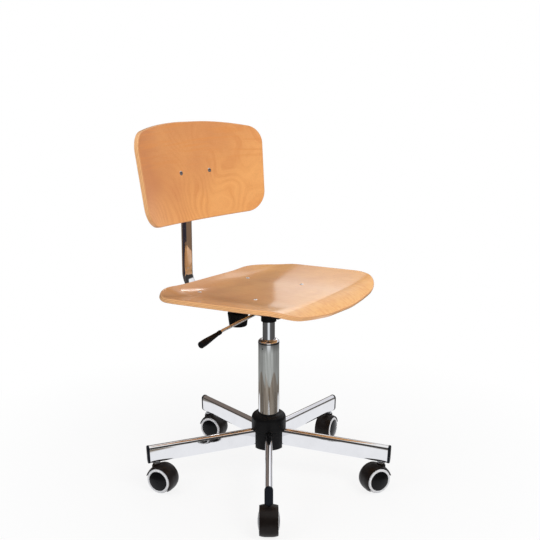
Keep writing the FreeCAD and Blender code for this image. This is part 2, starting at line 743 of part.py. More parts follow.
# Column: chromed tube with a guide bush and a domed cap

def make_column():
    inside = v.column_radius - v.column_wall
    floor_top = column_bottom + v.column_floor
    hole = v.rod_foot_radius + v.run_gap
    tube = turned("column", (
        (hole, column_bottom),
        (v.column_radius, column_bottom),
        (v.column_radius, column_top),
        (inside, column_top),
        (inside, floor_top),
        (hole, floor_top),
    ))
    # A pin hole on the lever's side shows the bush behind the tube.
    pin_hole = cylinder("column_pin_hole", v.pin_hole_radius, v.column_wall + v.overrun * 2)
    place(pin_hole, x=-inside + v.overrun, z=column_top - v.pin_hole_drop, pitch=-QUARTER)
    keep(cut("column_drilled", tube, pin_hole), "column_tube")
    flange_top = column_top + v.bush_flange
    bore = v.cylinder_radius + v.run_gap
    keep(turned("bush", (
        (bore, column_top - v.bush_length),
        (inside, column_top - v.bush_length),
        (inside, column_top),
        (v.column_radius + v.bush_lip, column_top),
        (v.column_radius + v.bush_lip, flange_top),
        (bore, flange_top),
    )), "column_bush")
    dome_top = flange_top + v.dome_height
    dome_start = flange_top + v.dome_rim
    mouth = v.cylinder_radius + v.dome_gap
    bulge = (
        mouth + (v.column_radius - mouth) * math.sin(math.pi / 4),
        dome_start + (dome_top - dome_start) * math.sin(math.pi / 4),
    )
    keep(turned("dome", (
        (mouth, flange_top),
        (v.column_radius, flange_top),
        (v.column_radius, dome_start, bulge),
        (mouth, dome_top),
    )), "column_cap")


def make_thrust_parts():
    floor_top = column_bottom + v.column_floor
    bearing_top = floor_top + v.bearing_height
    keep(turned("bearing", (
        (v.rod_radius + v.rest_gap, floor_top),
        (v.bearing_radius, floor_top),
        (v.bearing_radius, bearing_top),
        (v.rod_radius + v.rest_gap, bearing_top),
    )), "thrust_bearing")
    collar_bottom = bearing_top + v.rest_gap
    collar_top = collar_bottom + v.rod_collar
    piston_radius = v.cylinder_radius - v.cylinder_wall - v.run_gap
    keep(turned("rod", (
        (zero, column_bottom - v.rod_foot),
        (v.rod_foot_radius, column_bottom - v.rod_foot),
        (v.rod_foot_radius, floor_top + v.rest_gap),
        (v.rod_radius, floor_top + v.rest_gap),
        (v.rod_radius, collar_bottom),
        (v.rod_collar_radius, collar_bottom),
        (v.rod_collar_radius, collar_top),
        (v.rod_radius, collar_top),
        (v.rod_radius, piston_bottom),
        (piston_radius, piston_bottom),
        (piston_radius, piston_bottom + v.piston_length),
        (zero, piston_bottom + v.piston_length),
    )), "piston_rod")
    clip_top = column_bottom - v.rest_gap
    keep(turned("clip", (
        (v.rod_foot_radius, clip_top - v.clip_height),
        (v.clip_radius, clip_top - v.clip_height),
        (v.clip_radius, clip_top),
        (v.rod_foot_radius, clip_top),
    )), "rod_clip")


def make_gas_cylinder():
    inside = v.cylinder_radius - v.cylinder_wall
    rod_hole = v.rod_radius + v.run_gap
    button_hole = v.button_radius + v.run_gap
    head = cone_top - v.cylinder_head
    chamber = cylinder_bottom + v.cylinder_end
    keep(turned("gas", (
        (rod_hole, cylinder_bottom),
        (v.cylinder_radius, cylinder_bottom),
        (v.cylinder_radius, cone_bottom),
        (cone_radius, cone_top),
        (button_hole, cone_top),
        (button_hole, head),
        (inside, head - v.cylinder_wall),
        (inside, chamber),
        (rod_hole, chamber),
    )), "gas_cylinder")
    # The lever's underside drops towards -X, so it is lowest over that side of the button.
    droop = v.lever_droop_angle
    lever_underside = lever_height - (v.lever_radius + v.button_radius * sine(droop)) / cosine(droop)
    button_bottom = cone_top - v.button_depth
    button = cylinder("button", v.button_radius, lever_underside - v.skin_gap - button_bottom)
    keep(place(button, z=button_bottom), "release_button")


# Castors: a hood on a stem, an axle, and two wheels with soft tyres

axle_height = v.wheel_radius


def on_castor(index, along, across):
    """Plan position of a point of castor number index, along its trail and across it."""
    yaw = CASTOR_YAWS[index]
    x, y = around(castor_radius, index)
    x = x + along * cosine(yaw) - across * sine(yaw)
    y = y + along * sine(yaw) + across * cosine(yaw)
    return x, y


def set_across(item, along, across, height):
    """Lays a cylinder, whose own axis is Z, along Y."""
    return place(item, along, across, height, roll=-QUARTER)


def make_hood(index):
    node = "castor_%d_hood" % (index + 1)
    inner = v.wheel_radius + v.hood_gap
    outer = inner + v.hood_wall
    crown = v.hood_half - v.hood_crown
    edge = inner + v.hood_wall / 4
    halfway = (outer - (outer - edge) / 4, v.hood_half - v.hood_crown / 2)
    shell = turned(node + "_shell", (
        (inner, -v.hood_half),
        (edge, -v.hood_half, (halfway[0], -halfway[1])),
        (outer, -crown),
        (outer, crown, halfway),
        (edge, v.hood_half),
        (inner, v.hood_half),
    ), v.hood_front_angle + v.hood_back_angle)
    # The section is turned about the axle from the hood's front edge, over the wheels, to its lower edge.
    place(shell, v.castor_trail, zero, axle_height, pitch=-v.hood_front_angle, roll=-QUARTER)
    boss = place(cylinder(node + "_boss", v.hood_boss, hood_top - axle_height), z=axle_height)
    clearance = set_across(
        cylinder(node + "_clearance", inner, v.hood_half * 2 + v.overrun * 2),
        v.castor_trail, -v.hood_half - v.overrun, axle_height,
    )
    roof = cut(node + "_roof", fused(node + "_blank", (shell, boss)), clearance)
    web = set_across(
        cylinder(node + "_web", v.web_radius, v.fork_half * 2), v.castor_trail, -v.fork_half, axle_height,
    )
    neck_half = v.stem_radius + v.hood_wall
    neck = box(
        node + "_neck", -neck_half, v.castor_trail, -v.fork_half, v.fork_half,
        axle_height, hood_top - v.hood_wall,
    )
    bridge = box(
        node + "_bridge", v.castor_trail, v.castor_trail + inner, -v.fork_half, v.fork_half,
        axle_height - v.web_radius / 2, axle_height,
    )
    solid = fused(node + "_solid", (roof, web, neck, bridge))
    stem_bore = place(
        cylinder(node + "_stem_bore", v.stem_radius + v.run_gap, hood_top), z=stem_bottom - v.rest_gap,
    )
    axle_bore = set_across(
        cylinder(node + "_axle_bore", v.axle_radius, v.fork_half * 2 + v.overrun * 2),
        v.castor_trail, -v.fork_half - v.overrun, axle_height,
    )
    hood = cut(node + "_cut", solid, fused(node + "_bores", (stem_bore, axle_bore)))
    x, y = on_castor(index, zero, zero)
    keep(place(hood, x, y, yaw=CASTOR_YAWS[index]), node)


def make_axle(index):
    node = "castor_%d_axle" % (index + 1)
    x, y = on_castor(index, v.castor_trail, -axle_half)
    axle = cylinder(node + "_pin", v.axle_radius, axle_half * 2)
    keep(place(axle, x, y, axle_height, yaw=CASTOR_YAWS[index], roll=-QUARTER), node)


def make_wheel(index, side, direction):
    """One domed wheel disc and its tyre; direction is 1 towards the castor's +Y and -1 the other way."""
    bore = v.axle_radius + v.run_gap
    bore_end = axle_half + v.rest_gap
    rib = v.rim_radius - v.wheel_rib
    floor = wheel_inner + v.wheel_recess
    # The outer face is a cap of a sphere whose centre lies on the axle.
    rise = wheel_outer - wheel_edge
    sphere = (v.rim_radius * v.rim_radius + rise * rise) / (rise * 2)
    half_way = v.rim_radius / 2
    crown = (half_way, wheel_outer - sphere + root(sphere * sphere - half_way * half_way))
    disc = turned("castor_%d_disc_%s" % (index + 1, side), (
        (zero, bore_end),
        (bore, bore_end),
        (bore, wheel_inner),
        (v.wheel_hub, wheel_inner),
        (v.wheel_hub, floor),
        (rib, floor),
        (rib, wheel_inner),
        (v.rim_radius, wheel_inner),
        (v.rim_radius, wheel_edge, crown),
        (zero, wheel_outer),
    ))
    shoulder = v.tyre_round * (1 - math.sin(math.pi / 4))
    tyre = turned("castor_%d_ring_%s" % (index + 1, side), (
        (v.rim_radius, tyre_inner),
        (v.wheel_radius - v.tyre_bevel, tyre_inner),
        (v.wheel_radius, tyre_inner + v.tyre_bevel),
        (v.wheel_radius, tyre_outer - v.tyre_round, (v.wheel_radius - shoulder, tyre_outer - shoulder)),
        (v.wheel_radius - v.tyre_round, tyre_outer),
        (v.rim_radius, tyre_outer),
    ))
    x, y = on_castor(index, v.castor_trail, zero)
    for kind, item in (("wheel", disc), ("tyre", tyre)):
        place(item, x, y, axle_height, yaw=CASTOR_YAWS[index], roll=-QUARTER * direction)
        keep(item, "castor_%d_%s_%s" % (index + 1, kind, side))


# Carrier: pressed steel box under the seat, with the cone socket, the lever's lugs and two cross bars

def seat_plane(y):
    """Height of the seat's flat underside at a distance behind the column axis."""
    drop = y * sine(v.seat_tilt_angle) / cosine(v.seat_tilt_angle)
    return seat_height - v.seat_sheet / cosine(v.seat_tilt_angle) - drop


guide_top = seat_plane(v.guide_rear) - v.bar_sheet / cosine(v.seat_tilt_angle) - v.rest_gap * 2


def in_seat(item, x, y, z):
    """Places an item given in the tilted seat's own directions."""
    height = seat_height + z * cosine(v.seat_tilt_angle) - y * sine(v.seat_tilt_angle)
    back = y * cosine(v.seat_tilt_angle) + z * sine(v.seat_tilt_angle)
    return place(item, x, back, height, roll=-v.seat_tilt_angle)


SCREW_PLACES = (
    (v.screw_half, -v.screw_front),
    (-v.screw_half, -v.screw_front),
    (v.screw_half, v.screw_rear),
    (-v.screw_half, v.screw_rear),
)


def make_carrier():
    wall = v.carrier_wall
    outside = padded("carrier_box", "YZ_Plane", ((
        (-v.carrier_front, carrier_floor),
        (v.carrier_rear, carrier_floor),
        (v.carrier_rear, seat_plane(v.carrier_rear)),
        (-v.carrier_front, seat_plane(-v.carrier_front)),
    ),), v.carrier_half * 2, both_ways=True)
    inside_rear = v.carrier_rear + v.overrun
    hollow = padded("carrier_hollow", "YZ_Plane", ((
        (-v.carrier_front + wall, carrier_floor + wall),
        (inside_rear, carrier_floor + wall),
        (inside_rear, seat_plane(inside_rear) - wall),
        (-v.carrier_front + wall, seat_plane(-v.carrier_front + wall) - wall),
    ),), (v.carrier_half - wall) * 2, both_ways=True)
    pressed = cut("carrier_pressed", outside, hollow)
    boss_radius = v.cylinder_radius + v.boss_wall
    boss = place(cylinder("carrier_boss", boss_radius, cone_top - cone_bottom), z=cone_bottom)
    lug_floor = carrier_floor + wall
    lug_inner = v.eye_half + v.rest_gap
    lugs = []
    for side, near, far in (("left", lug_inner, v.lug_half), ("right", -v.lug_half, -lug_inner)):
        lugs.append(box(
            "lug_" + side, -v.pivot_offset - v.lug_width / 2, -v.pivot_offset + v.lug_width / 2,
            near, far, lug_floor - wall / 2, lug_floor + v.lug_height,
        ))
    bars = []
    for end, middle in (("front", -v.screw_front), ("rear", v.screw_rear)):
        bar = doc.addObject("Part::Box", "cross_bar_" + end)
        bind(bar, "Length", bar_reach * 2)
        bind(bar, "Width", v.bar_width)
        bind(bar, "Height", v.bar_sheet)
        bars.append(in_seat(bar, -bar_reach, middle - v.bar_width / 2, -v.seat_sheet - v.bar_sheet))
    solid = fused("carrier_solid", [pressed, boss] + lugs + bars)
    cone = doc.addObject("Part::Cone", "carrier_cone")
    bind(cone, "Radius1", v.cylinder_radius)
    bind(cone, "Radius2", cone_radius)
    bind(cone, "Height", cone_top - cone_bottom)
    place(cone, z=cone_bottom)
    clamp_hole = place(
        cylinder("carrier_clamp_hole", v.clamp_radius + v.run_gap, wall + v.overrun * 2),
        y=v.clamp_place, z=carrier_floor - v.overrun,
    )
    slot = box(
        "carrier_slot", -v.carrier_half - v.overrun, -v.carrier_half + wall + v.overrun,
        -v.slot_half, v.slot_half, slot_low, slot_high,
    )
    pin_hole = set_across(
        cylinder("carrier_pin_hole", v.pivot_radius, v.lug_half * 2 + v.overrun * 2),
        -v.pivot_offset, -v.lug_half - v.overrun, pivot_height,
    )
    tools = [cone, clamp_hole, slot, pin_hole]
    for number, (x, y) in enumerate(SCREW_PLACES, start=1):
        hole = cylinder("carrier_screw_hole_%d" % number, v.screw_radius, v.bar_sheet + v.overrun * 2)
        tools.append(in_seat(hole, x, y, -v.seat_sheet - v.bar_sheet - v.overrun))
    keep(cut("carrier_cut", solid, fused("carrier_tools", tools)), "seat_carrier")


def make_shroud():
    inner = shroud_radius - v.shroud_wall
    lip_top = shroud_bottom + v.shroud_lip
    keep(turned("shroud", (
        (v.cylinder_radius + v.run_gap, shroud_bottom),
        (shroud_radius, shroud_bottom),
        (shroud_radius, carrier_floor),
        (inner, carrier_floor),
        (inner, lip_top),
        (v.cylinder_radius + v.run_gap, lip_top),
    )), "carrier_shroud")


# Seat: one plywood shell, flat in the middle, dished at the sides, turned up behind and down in front

def seat_section(name, y):
    """The seat's top across the seat, in a plane at a distance behind the column axis."""
    sketch = doc.addObject("Sketcher::SketchObject", name)
    reach = seat_section_half
    run = reach - v.seat_flat_half
    rise = run * run / (v.seat_dish_radius * 2)
    middle = v.seat_flat_half + run / 2
    draw(sketch, (
        (-reach, rise, (-middle, rise / 4)),
        (-v.seat_flat_half, zero),
        (v.seat_flat_half, zero, (middle, rise / 4)),
        (reach, rise),
    ), closed=False)
    place(sketch, y=y, roll=QUARTER)
    return sketch


def make_seat():
    front = seat_section("seat_section_front", -seat_flat_front)
    rear = seat_section("seat_section_rear", seat_flat_rear)
    flat = extruded("seat_flat", front, Vector(0, 1, 0), seat_flat_front + seat_flat_rear, solid=False)
    lip = doc.addObject("Part::Revolution", "seat_lip")
    lip.Source = front
    lip.Axis = Vector(1, 0, 0)
    lip.Solid = False
    bind(lip, "Angle", v.seat_front_angle)
    lip.setExpression("Base.y", (-seat_flat_front).formula)
    lip.setExpression("Base.z", (-v.seat_front_radius).formula)
    # The dish's arc reaches past the axis of the turned-up rear, so this stretch is swept along its bend.
    bend = doc.addObject("Sketcher::SketchObject", "seat_rear_bend")
    radius = v.seat_rear_radius
    half_turn = v.seat_rear_angle / 2
    half_way = (seat_flat_rear + radius * sine(half_turn), radius - radius * cosine(half_turn))
    draw(bend, (
        (seat_flat_rear, zero, half_way),
        (seat_flat_rear + radius * sine(v.seat_rear_angle), radius - radius * cosine(v.seat_rear_angle)),
    ), closed=False)
    place(bend, yaw=QUARTER, roll=QUARTER)
    turn_up = doc.addObject("Part::Sweep", "seat_turn_up")
    turn_up.Sections = [rear]
    turn_up.Spine = (bend, ["Edge1"])
    turn_up.Solid = False
    blank = fused("seat_blank", (flat, lip, turn_up))
    plan = doc.addObject("Sketcher::SketchObject", "seat_plan")
    front_edge = v.seat_front_edge + v.seat_bulge
    draw_rounded(plan, (
        (v.seat_half_rear, v.seat_rear_edge, v.seat_corner_rear),
        (-v.seat_half_rear, v.seat_rear_edge, v.seat_corner_rear),
        (-v.seat_half_front, -v.seat_front_edge, v.seat_corner_front),
        (-v.seat_bulge_half, -front_edge, v.seat_bulge_radius),
        (v.seat_bulge_half, -front_edge, v.seat_bulge_radius),
        (v.seat_half_front, -v.seat_front_edge, v.seat_corner_front),
    ))
    cutter = extruded("seat_cutter", plan, Vector(0, 0, 1), v.seat_half_rear)
    cutter.Symmetric = True
    plywood = thickened("seat_plywood", common("seat_top", blank, cutter), v.seat_sheet)
    holes = []
    for number, (x, y) in enumerate(SCREW_PLACES, start=1):
        shank = cylinder("seat_hole_%d" % number, v.screw_radius, v.seat_sheet * 3)
        holes.append(place(shank, x, y, -v.seat_sheet * 2))
        sink = cylinder("seat_sink_%d" % number, v.screw_head, v.seat_sheet)
        holes.append(place(sink, x, y, screw_top(y) - v.screw_head_depth))
    shell = cut("seat_cut", plywood, fused("seat_holes", holes))
    keep(in_seat(shell, zero, zero, zero), "seat_shell")


def screw_top(y):
    """Height of a screw's head in the seat's own directions: level with the shell there."""
    side = v.screw_half - v.seat_flat_half
    rise = side * side / (v.seat_dish_radius * 2)
    if y.number > 0:
        past = v.screw_rear - seat_flat_rear
        rise = rise + past * past / (v.seat_rear_radius * 2)
    return rise


def make_seat_screws():
    screws = []
    for number, (x, y) in enumerate(SCREW_PLACES, start=1):
        top = screw_top(y)
        head_bottom = top - v.screw_head_depth
        screw = turned("screw_%d" % number, (
            (zero, head_bottom - v.screw_length),
            (v.screw_radius, head_bottom - v.screw_length),
            (v.screw_radius, head_bottom),
            (v.screw_head, head_bottom),
            (v.screw_head, top),
            (zero, top),
        ))
        screws.append(in_seat(screw, x, y, zero))
    keep(together("screws_group", screws), "seat_screws")


# Lever: a bent rod that presses the release button, its pin and its grip

pivot_height = lever_height - v.pivot_offset * sine(v.lever_droop_angle) / cosine(v.lever_droop_angle)
rod_run = (v.lever_bend + v.lever_tail) / cosine(v.lever_droop_angle)
bend_height = lever_height - v.lever_bend * sine(v.lever_droop_angle) / cosine(v.lever_droop_angle)


def make_lever():
    start_height = lever_height + v.lever_tail * sine(v.lever_droop_angle) / cosine(v.lever_droop_angle)
    inner = place(
        cylinder("lever_inner", v.lever_radius, rod_run), x=v.lever_tail, z=start_height,
        pitch=-v.lever_droop_angle - QUARTER,
    )
    bend = doc.addObject("Part::Sphere", "lever_bend_ball")
    bind(bend, "Radius", v.lever_radius)
    place(bend, x=-v.lever_bend, z=bend_height)
    outer = place(
        cylinder("lever_outer", v.lever_radius, v.lever_length), x=-v.lever_bend, z=bend_height,
        pitch=-v.grip_droop_angle - QUARTER,
    )
    eye = set_across(
        cylinder("lever_eye", v.eye_radius, v.eye_half * 2), -v.pivot_offset, -v.eye_half, pivot_height,
    )
    pin_bore = set_across(
        cylinder("lever_bore", v.pivot_radius + v.run_gap, v.eye_half * 2 + v.overrun * 2),
        -v.pivot_offset, -v.eye_half - v.overrun, pivot_height,
    )
    keep(cut("lever_cut", fused("lever_solid", (inner, bend, outer, eye)), pin_bore), "lever_rod")
    pin = cylinder("lever_pin_rod", v.pivot_radius, v.lug_half * 2)
    keep(set_across(pin, -v.pivot_offset, -v.lug_half, pivot_height), "lever_pin")
    away = v.lever_length - v.grip_bore
    end = v.grip_length
    edge = v.grip_edge * (1 - math.sin(math.pi / 4))
    grip = turned("grip", (
        (v.lever_radius, zero),
        (v.grip_start_radius, zero),
        (v.grip_start_radius, end / 12),
        (v.grip_neck_radius, end / 8),
        (v.grip_end_radius, end * 3 / 4),
        (v.grip_end_radius, end - v.grip_edge, (v.grip_end_radius - edge, end - edge)),
        (v.grip_end_radius - v.grip_edge, end),
        (zero, end),
        (zero, v.grip_bore),
        (v.lever_radius, v.grip_bore),
    ))
    x = -v.lever_bend - away * cosine(v.grip_droop_angle)
    z = bend_height - away * sine(v.grip_droop_angle)
    keep(place(grip, x=x, z=z, pitch=-v.grip_droop_angle - QUARTER), "lever_grip")


# Clamp knob and screw, which hold the back stem at its depth

def make_clamp():
    neck_bottom = knob_bottom + v.knob_height
    neck_top = neck_bottom + v.knob_neck_height
    screw_bottom = neck_top - v.knob_bore
    edge = v.knob_edge * (1 - math.sin(math.pi / 4))
    rise = neck_bottom - knob_bottom
    flare = v.knob_radius - v.knob_low_radius
    body = turned("knob_body", (
        (zero, knob_bottom),
        (v.knob_low_radius - v.knob_edge, knob_bottom, (v.knob_low_radius - edge, knob_bottom + edge)),
        (v.knob_low_radius, knob_bottom + v.knob_edge),
        (v.knob_radius, neck_bottom - v.knob_edge / 2),
        (v.knob_radius - v.knob_edge / 2, neck_bottom),
        (v.knob_neck, neck_bottom),
        (v.knob_neck, neck_top),
        (v.clamp_radius + v.run_gap, neck_top),
        (v.clamp_radius + v.run_gap, screw_bottom - v.rest_gap),
        (zero, screw_bottom - v.rest_gap),
    ))
    grooves = []
    lean = slope_angle(flare, rise)
    for number in range(KNOB_GROOVES):
        turn = TURN / KNOB_GROOVES * number
        groove = cylinder("groove_%d" % (number + 1), v.groove_radius, rise + v.overrun * 2)
        low = v.knob_low_radius - v.overrun * flare / rise
        place(groove, low * cosine(turn), low * sine(turn), knob_bottom - v.overrun, yaw=turn, pitch=lean)
        grooves.append(groove)
    knob = cut("knob", body, together("grooves", grooves))
    keep(place(knob, y=v.clamp_place), "clamp_knob")
    screw_top_height = bar_height - v.bar_thick / 2 - v.skin_gap
    screw = cylinder("clamp_rod", v.clamp_radius, screw_top_height - screw_bottom)
    keep(place(screw, y=v.clamp_place, z=screw_bottom), "clamp_screw")


# Back stem: a flat-oval tube that slides in a guide block and turns up behind the seat

def upright(outline):
    """The outline turned so that its long way lies across the chair."""
    turned_outline = []
    for corner in outline:
        swapped = (corner[1], corner[0])
        if len(corner) == 3:
            swapped = swapped + ((corner[2][1], corner[2][0]),)
        turned_outline.append(swapped)
    return tuple(turned_outline)


def stem_run(name, across, thick):
    """A flat-oval bar along the stem's axis: a level run, a bend and an upright run."""
    outline = upright(stadium(thick, across))
    level = doc.addObject("Sketcher::SketchObject", name + "_level_section")
    draw(level, outline)
    bend_start = v.bar_place - v.bar_bend
    place(level, y=bend_start, z=bar_height, roll=QUARTER)
    run = extruded(name + "_level", level, Vector(0, -1, 0), bend_start - v.bar_front)
    bend = doc.addObject("Part::Revolution", name + "_bend")
    bend.Source = level
    bend.Axis = Vector(1, 0, 0)
    bend.Angle = QUARTER
    bend.setExpression("Base.y", bend_start.formula)
    bend.setExpression("Base.z", (bar_height + v.bar_bend).formula)
    bend.Solid = True
    top = doc.addObject("Sketcher::SketchObject", name + "_upright_section")
    draw(top, outline)
    rise_start = bar_height + v.bar_bend
    place(top, y=v.bar_place, z=rise_start)
    rise = extruded(name + "_upright", top, Vector(0, 0, 1), bar_top - rise_start)
    return fused(name, (run, bend, rise))


def make_stem():
    outside = stem_run("stem_outside", v.bar_across, v.bar_thick)
    inside = stem_run("stem_inside", v.bar_across - v.bar_wall * 2, v.bar_thick - v.bar_wall * 2)
    pin_hole = place(
        cylinder("stem_pin_hole", v.hinge_radius, v.bar_across + v.overrun * 2),
        x=-v.bar_across / 2 - v.overrun, y=v.bar_place, z=hinge_height, pitch=QUARTER,
    )
    keep(cut("stem_cut", outside, fused("stem_tools", (inside, pin_hole))), "back_stem")
    plug = padded("plug_head", "XY_Plane", (upright(stadium(v.bar_thick, v.bar_across)),), v.plug_height)
    inner = upright(stadium(v.bar_thick - v.bar_wall * 2, v.bar_across - v.bar_wall * 2))
    insert = plug.newObject("PartDesign::Pad", "plug_insert")
    insert.Profile = sketch_in(plug, "XY_Plane", (inner,), "plug_insert")
    bind(insert, "Length", v.plug_depth)
    insert.Reversed = True
    plug.Tip = insert
    keep(place(plug, y=v.bar_place, z=bar_top), "stem_plug")
    inside_half = v.carrier_half - v.carrier_wall - v.skin_gap
    block = box(
        "guide_block", -inside_half, inside_half, v.guide_front, v.guide_rear,
        carrier_floor + v.carrier_wall, guide_top,
    )
    section = doc.addObject("Sketcher::SketchObject", "guide_section")
    draw(section, upright(stadium(v.bar_thick + v.skin_gap * 2, v.bar_across + v.skin_gap * 2)))
    place(section, y=v.guide_front - v.overrun, z=bar_height, roll=QUARTER)
    bore = extruded("guide_bore", section, Vector(0, 1, 0), v.guide_rear - v.guide_front + v.overrun * 2)
    screw_hole = place(
        cylinder("guide_screw_hole", v.clamp_radius + v.rest_gap, bar_height - carrier_floor),
        y=v.clamp_place, z=carrier_floor,
    )
    keep(cut("guide_cut", block, fused("guide_tools", (bore, screw_hole))), "stem_guide")


# Back: a curved plywood shell on a steel plate that tilts on a hinge pin through the stem

def on_hinge(item):
    """Places an item given in the leaning back's own directions, which start on the hinge pin."""
    return place(item, y=v.bar_place, z=hinge_height, roll=-v.back_lean_angle)


def curved_slab(name, inner, outer, low, high):
    """A slab between two cylinders about the back's own axis, in front of the sitter."""
    ring = doc.addObject("Part::Cylinder", name + "_outer")
    bind(ring, "Radius", outer)
    bind(ring, "Height", high - low)
    core = doc.addObject("Part::Cylinder", name + "_inner")
    bind(core, "Radius", inner)
    bind(core, "Height", high - low + v.overrun * 2)
    axis = -v.back_offset - v.back_radius
    place(ring, y=axis, z=low)
    place(core, y=axis, z=low - v.overrun)
    return cut(name, ring, core)


def make_back_shell():
    axis = -v.back_offset - v.back_radius
    low = -v.back_drop - v.back_half_height
    high = v.back_half_height - v.back_drop
    section = doc.addObject("Sketcher::SketchObject", "back_section")
    draw(section, (
        (-v.back_radius, axis, (zero, -v.back_offset)),
        (v.back_radius, axis),
    ), closed=False)
    place(section, z=low - v.overrun)
    sheet_height = high - low + v.back_arch + v.overrun * 2
    hollow_face = extruded("back_blank", section, Vector(0, 0, 1), sheet_height, solid=False)
    face = doc.addObject("Sketcher::SketchObject", "back_face")
    draw_rounded(face, (
        (-v.back_half_low, low, v.back_corner_low),
        (v.back_half_low, low, v.back_corner_low),
        (v.back_half_top, high, v.back_corner_top),
        (v.back_arch_half, high + v.back_arch, v.back_arch_radius),
        (-v.back_arch_half, high + v.back_arch, v.back_arch_radius),
        (-v.back_half_top, high, v.back_corner_top),
    ))
    place(face, roll=QUARTER)
    cutter = extruded("back_cutter", face, Vector(0, -1, 0), v.back_offset * 3)
    plywood = thickened("back_plywood", common("back_front", hollow_face, cutter), v.back_sheet)
    holes = []
    for side, x in (("left", v.bolt_half), ("right", -v.bolt_half)):
        bolt_face = back_level(v.bolt_half, zero)
        shank = cylinder("back_hole_" + side, v.bolt_radius, v.back_offset)
        holes.append(place(shank, x, bolt_face - v.overrun, zero, roll=-QUARTER))
        sink = cylinder("back_sink_" + side, v.bolt_head, v.back_offset)
        holes.append(place(sink, x, bolt_face + v.bolt_seat, zero, roll=QUARTER))
    shell = cut("back_cut", plywood, fused("back_holes", holes))
    keep(on_hinge(shell), "back_shell")


def back_level(reach, depth):
    """Where the curved back is, so far from its middle and so deep behind its front face."""
    return reach * reach / ((v.back_radius + depth) * -2) + depth - v.back_offset


def make_back_plate():
    rear = v.back_radius + v.back_sheet
    slab = curved_slab("plate_slab", rear, rear + v.plate_sheet, -v.plate_half_height, v.plate_half_height)
    window = box(
        "plate_window", -v.plate_half, v.plate_half, -v.back_offset, zero,
        -v.plate_half_height, v.plate_half_height,
    )
    plate = common("plate", slab, window)
    pieces = [plate]
    plate_rear = v.back_sheet + v.plate_sheet / 2 - v.back_offset
    for side, sign in (("left", 1), ("right", -1)):
        near = (v.bar_across / 2 + v.ear_gap) * sign
        far = (v.bar_across / 2 + v.ear_gap + v.plate_sheet) * sign
        low, high = (near, far) if sign > 0 else (far, near)
        pieces.append(box("ear_" + side, low, high, plate_rear, zero, -v.ear_radius, v.ear_radius))
        eye = cylinder("ear_eye_" + side, v.ear_radius, v.plate_sheet)
        pieces.append(place(eye, x=low, pitch=QUARTER))
    solid = fused("plate_solid", pieces)
    pin_hole = cylinder("plate_pin_hole", v.hinge_radius + v.run_gap, v.bar_across * 2)
    place(pin_hole, x=-v.bar_across, pitch=QUARTER)
    tools = [pin_hole]
    for side, x in (("left", v.bolt_half), ("right", -v.bolt_half)):
        hole = cylinder("plate_bolt_hole_" + side, v.bolt_radius, v.back_offset)
        tools.append(place(hole, x, -v.back_offset, zero, roll=-QUARTER))
    keep(on_hinge(cut("plate_cut", solid, fused("plate_tools", tools))), "back_bracket")


def make_back_fasteners():
    pieces = []
    for side, x in (("left", v.bolt_half), ("right", -v.bolt_half)):
        front = back_level(v.bolt_half, zero) + v.bolt_seat
        # A nut bears on the curved plate with the corner that is nearest to the plate's middle.
        plate_rear = back_level(v.bolt_half - v.nut_radius, v.back_sheet + v.plate_sheet)
        length = plate_rear - front + v.nut_height + v.overrun / 2
        bolt = turned("bolt_" + side, (
            (zero, -v.bolt_head_height),
            (v.bolt_head * 2 / 3, -v.bolt_head_height),
            (v.bolt_head, -v.bolt_head_height / 2),
            (v.bolt_head, zero),
            (v.bolt_radius, zero),
            (v.bolt_radius, length),
            (zero, length),
        ))
        pieces.append(place(bolt, x, front, zero, roll=-QUARTER))
        nut = doc.addObject("Part::Prism", "nut_blank_" + side)
        nut.Polygon = 6
        bind(nut, "Circumradius", v.nut_radius)
        bind(nut, "Height", v.nut_height)
        bore = cylinder("nut_bore_" + side, v.bolt_radius, v.nut_height + v.overrun * 2)
        place(bore, z=-v.overrun)
        nut_cut = cut("nut_" + side, nut, bore)
        pieces.append(place(nut_cut, x, plate_rear + v.rest_gap + v.skin_gap, zero, roll=-QUARTER))
    keep(on_hinge(together("back_fastener_group", pieces)), "back_fasteners")


def make_hinge_pin():
    half = hinge_half
    outer = half + v.hinge_head_height
    pin = turned("hinge_rod", (
        (zero, -outer),
        (v.hinge_head, -outer),
        (v.hinge_head, -half),
        (v.hinge_radius, -half),
        (v.hinge_radius, half),
        (v.hinge_head, half),
        (v.hinge_head, outer),
        (zero, outer),
    ))
    keep(place(pin, y=v.bar_place, z=hinge_height, pitch=QUARTER), "back_hinge_pin")


make_arms()
make_arm_ends()
make_stems()
make_hub()
make_hub_cover()
make_column()
make_thrust_parts()
make_gas_cylinder()
for castor in range(ARM_COUNT):
    make_hood(castor)
    make_axle(castor)
    make_wheel(castor, "left", 1)
    make_wheel(castor, "right", -1)
make_carrier()
make_shroud()
make_seat()
make_seat_screws()
make_lever()
make_clamp()
make_stem()
make_back_shell()
make_back_plate()
make_back_fasteners()
make_hinge_pin()
doc.recompute()

for item in doc.Objects:
    if "Invalid" in item.State or "Error" in item.State:
        raise RuntimeError("%s is %s" % (item.Label, item.State))
for node, item in PARTS.items():
    if item.Shape.isNull() or not item.Shape.isValid() or not item.Shape.Solids:
        raise RuntimeError("%s has no valid shape" % node)

os.makedirs("parts", exist_ok=True)
for node, item in PARTS.items():
    item.Shape.exportStep(os.path.join("parts", node + ".step"))
    bounds = item.Shape.BoundBox
    print("%-22s solids %d  volume %9.1f  z %.1f to %.1f" % (
        node, len(item.Shape.Solids), item.Shape.Volume, bounds.ZMin, bounds.ZMax,
    ))
print(len(PARTS), "sub-parts")
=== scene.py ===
# %% [markdown]
# # A plywood desk chair, dressed over its CAD model
# The chair stands in a CAD model that fixes every size and every joint. This lesson loads that model,
# keeps the pieces whose shape is right and gives them real finishes, and lays finer surfaces over the
# rest: the two shells of moulded beech plywood, the screws and bolts that hold them, the chromed arm
# tubes and back tube, and the ribbed tyres of the castors.

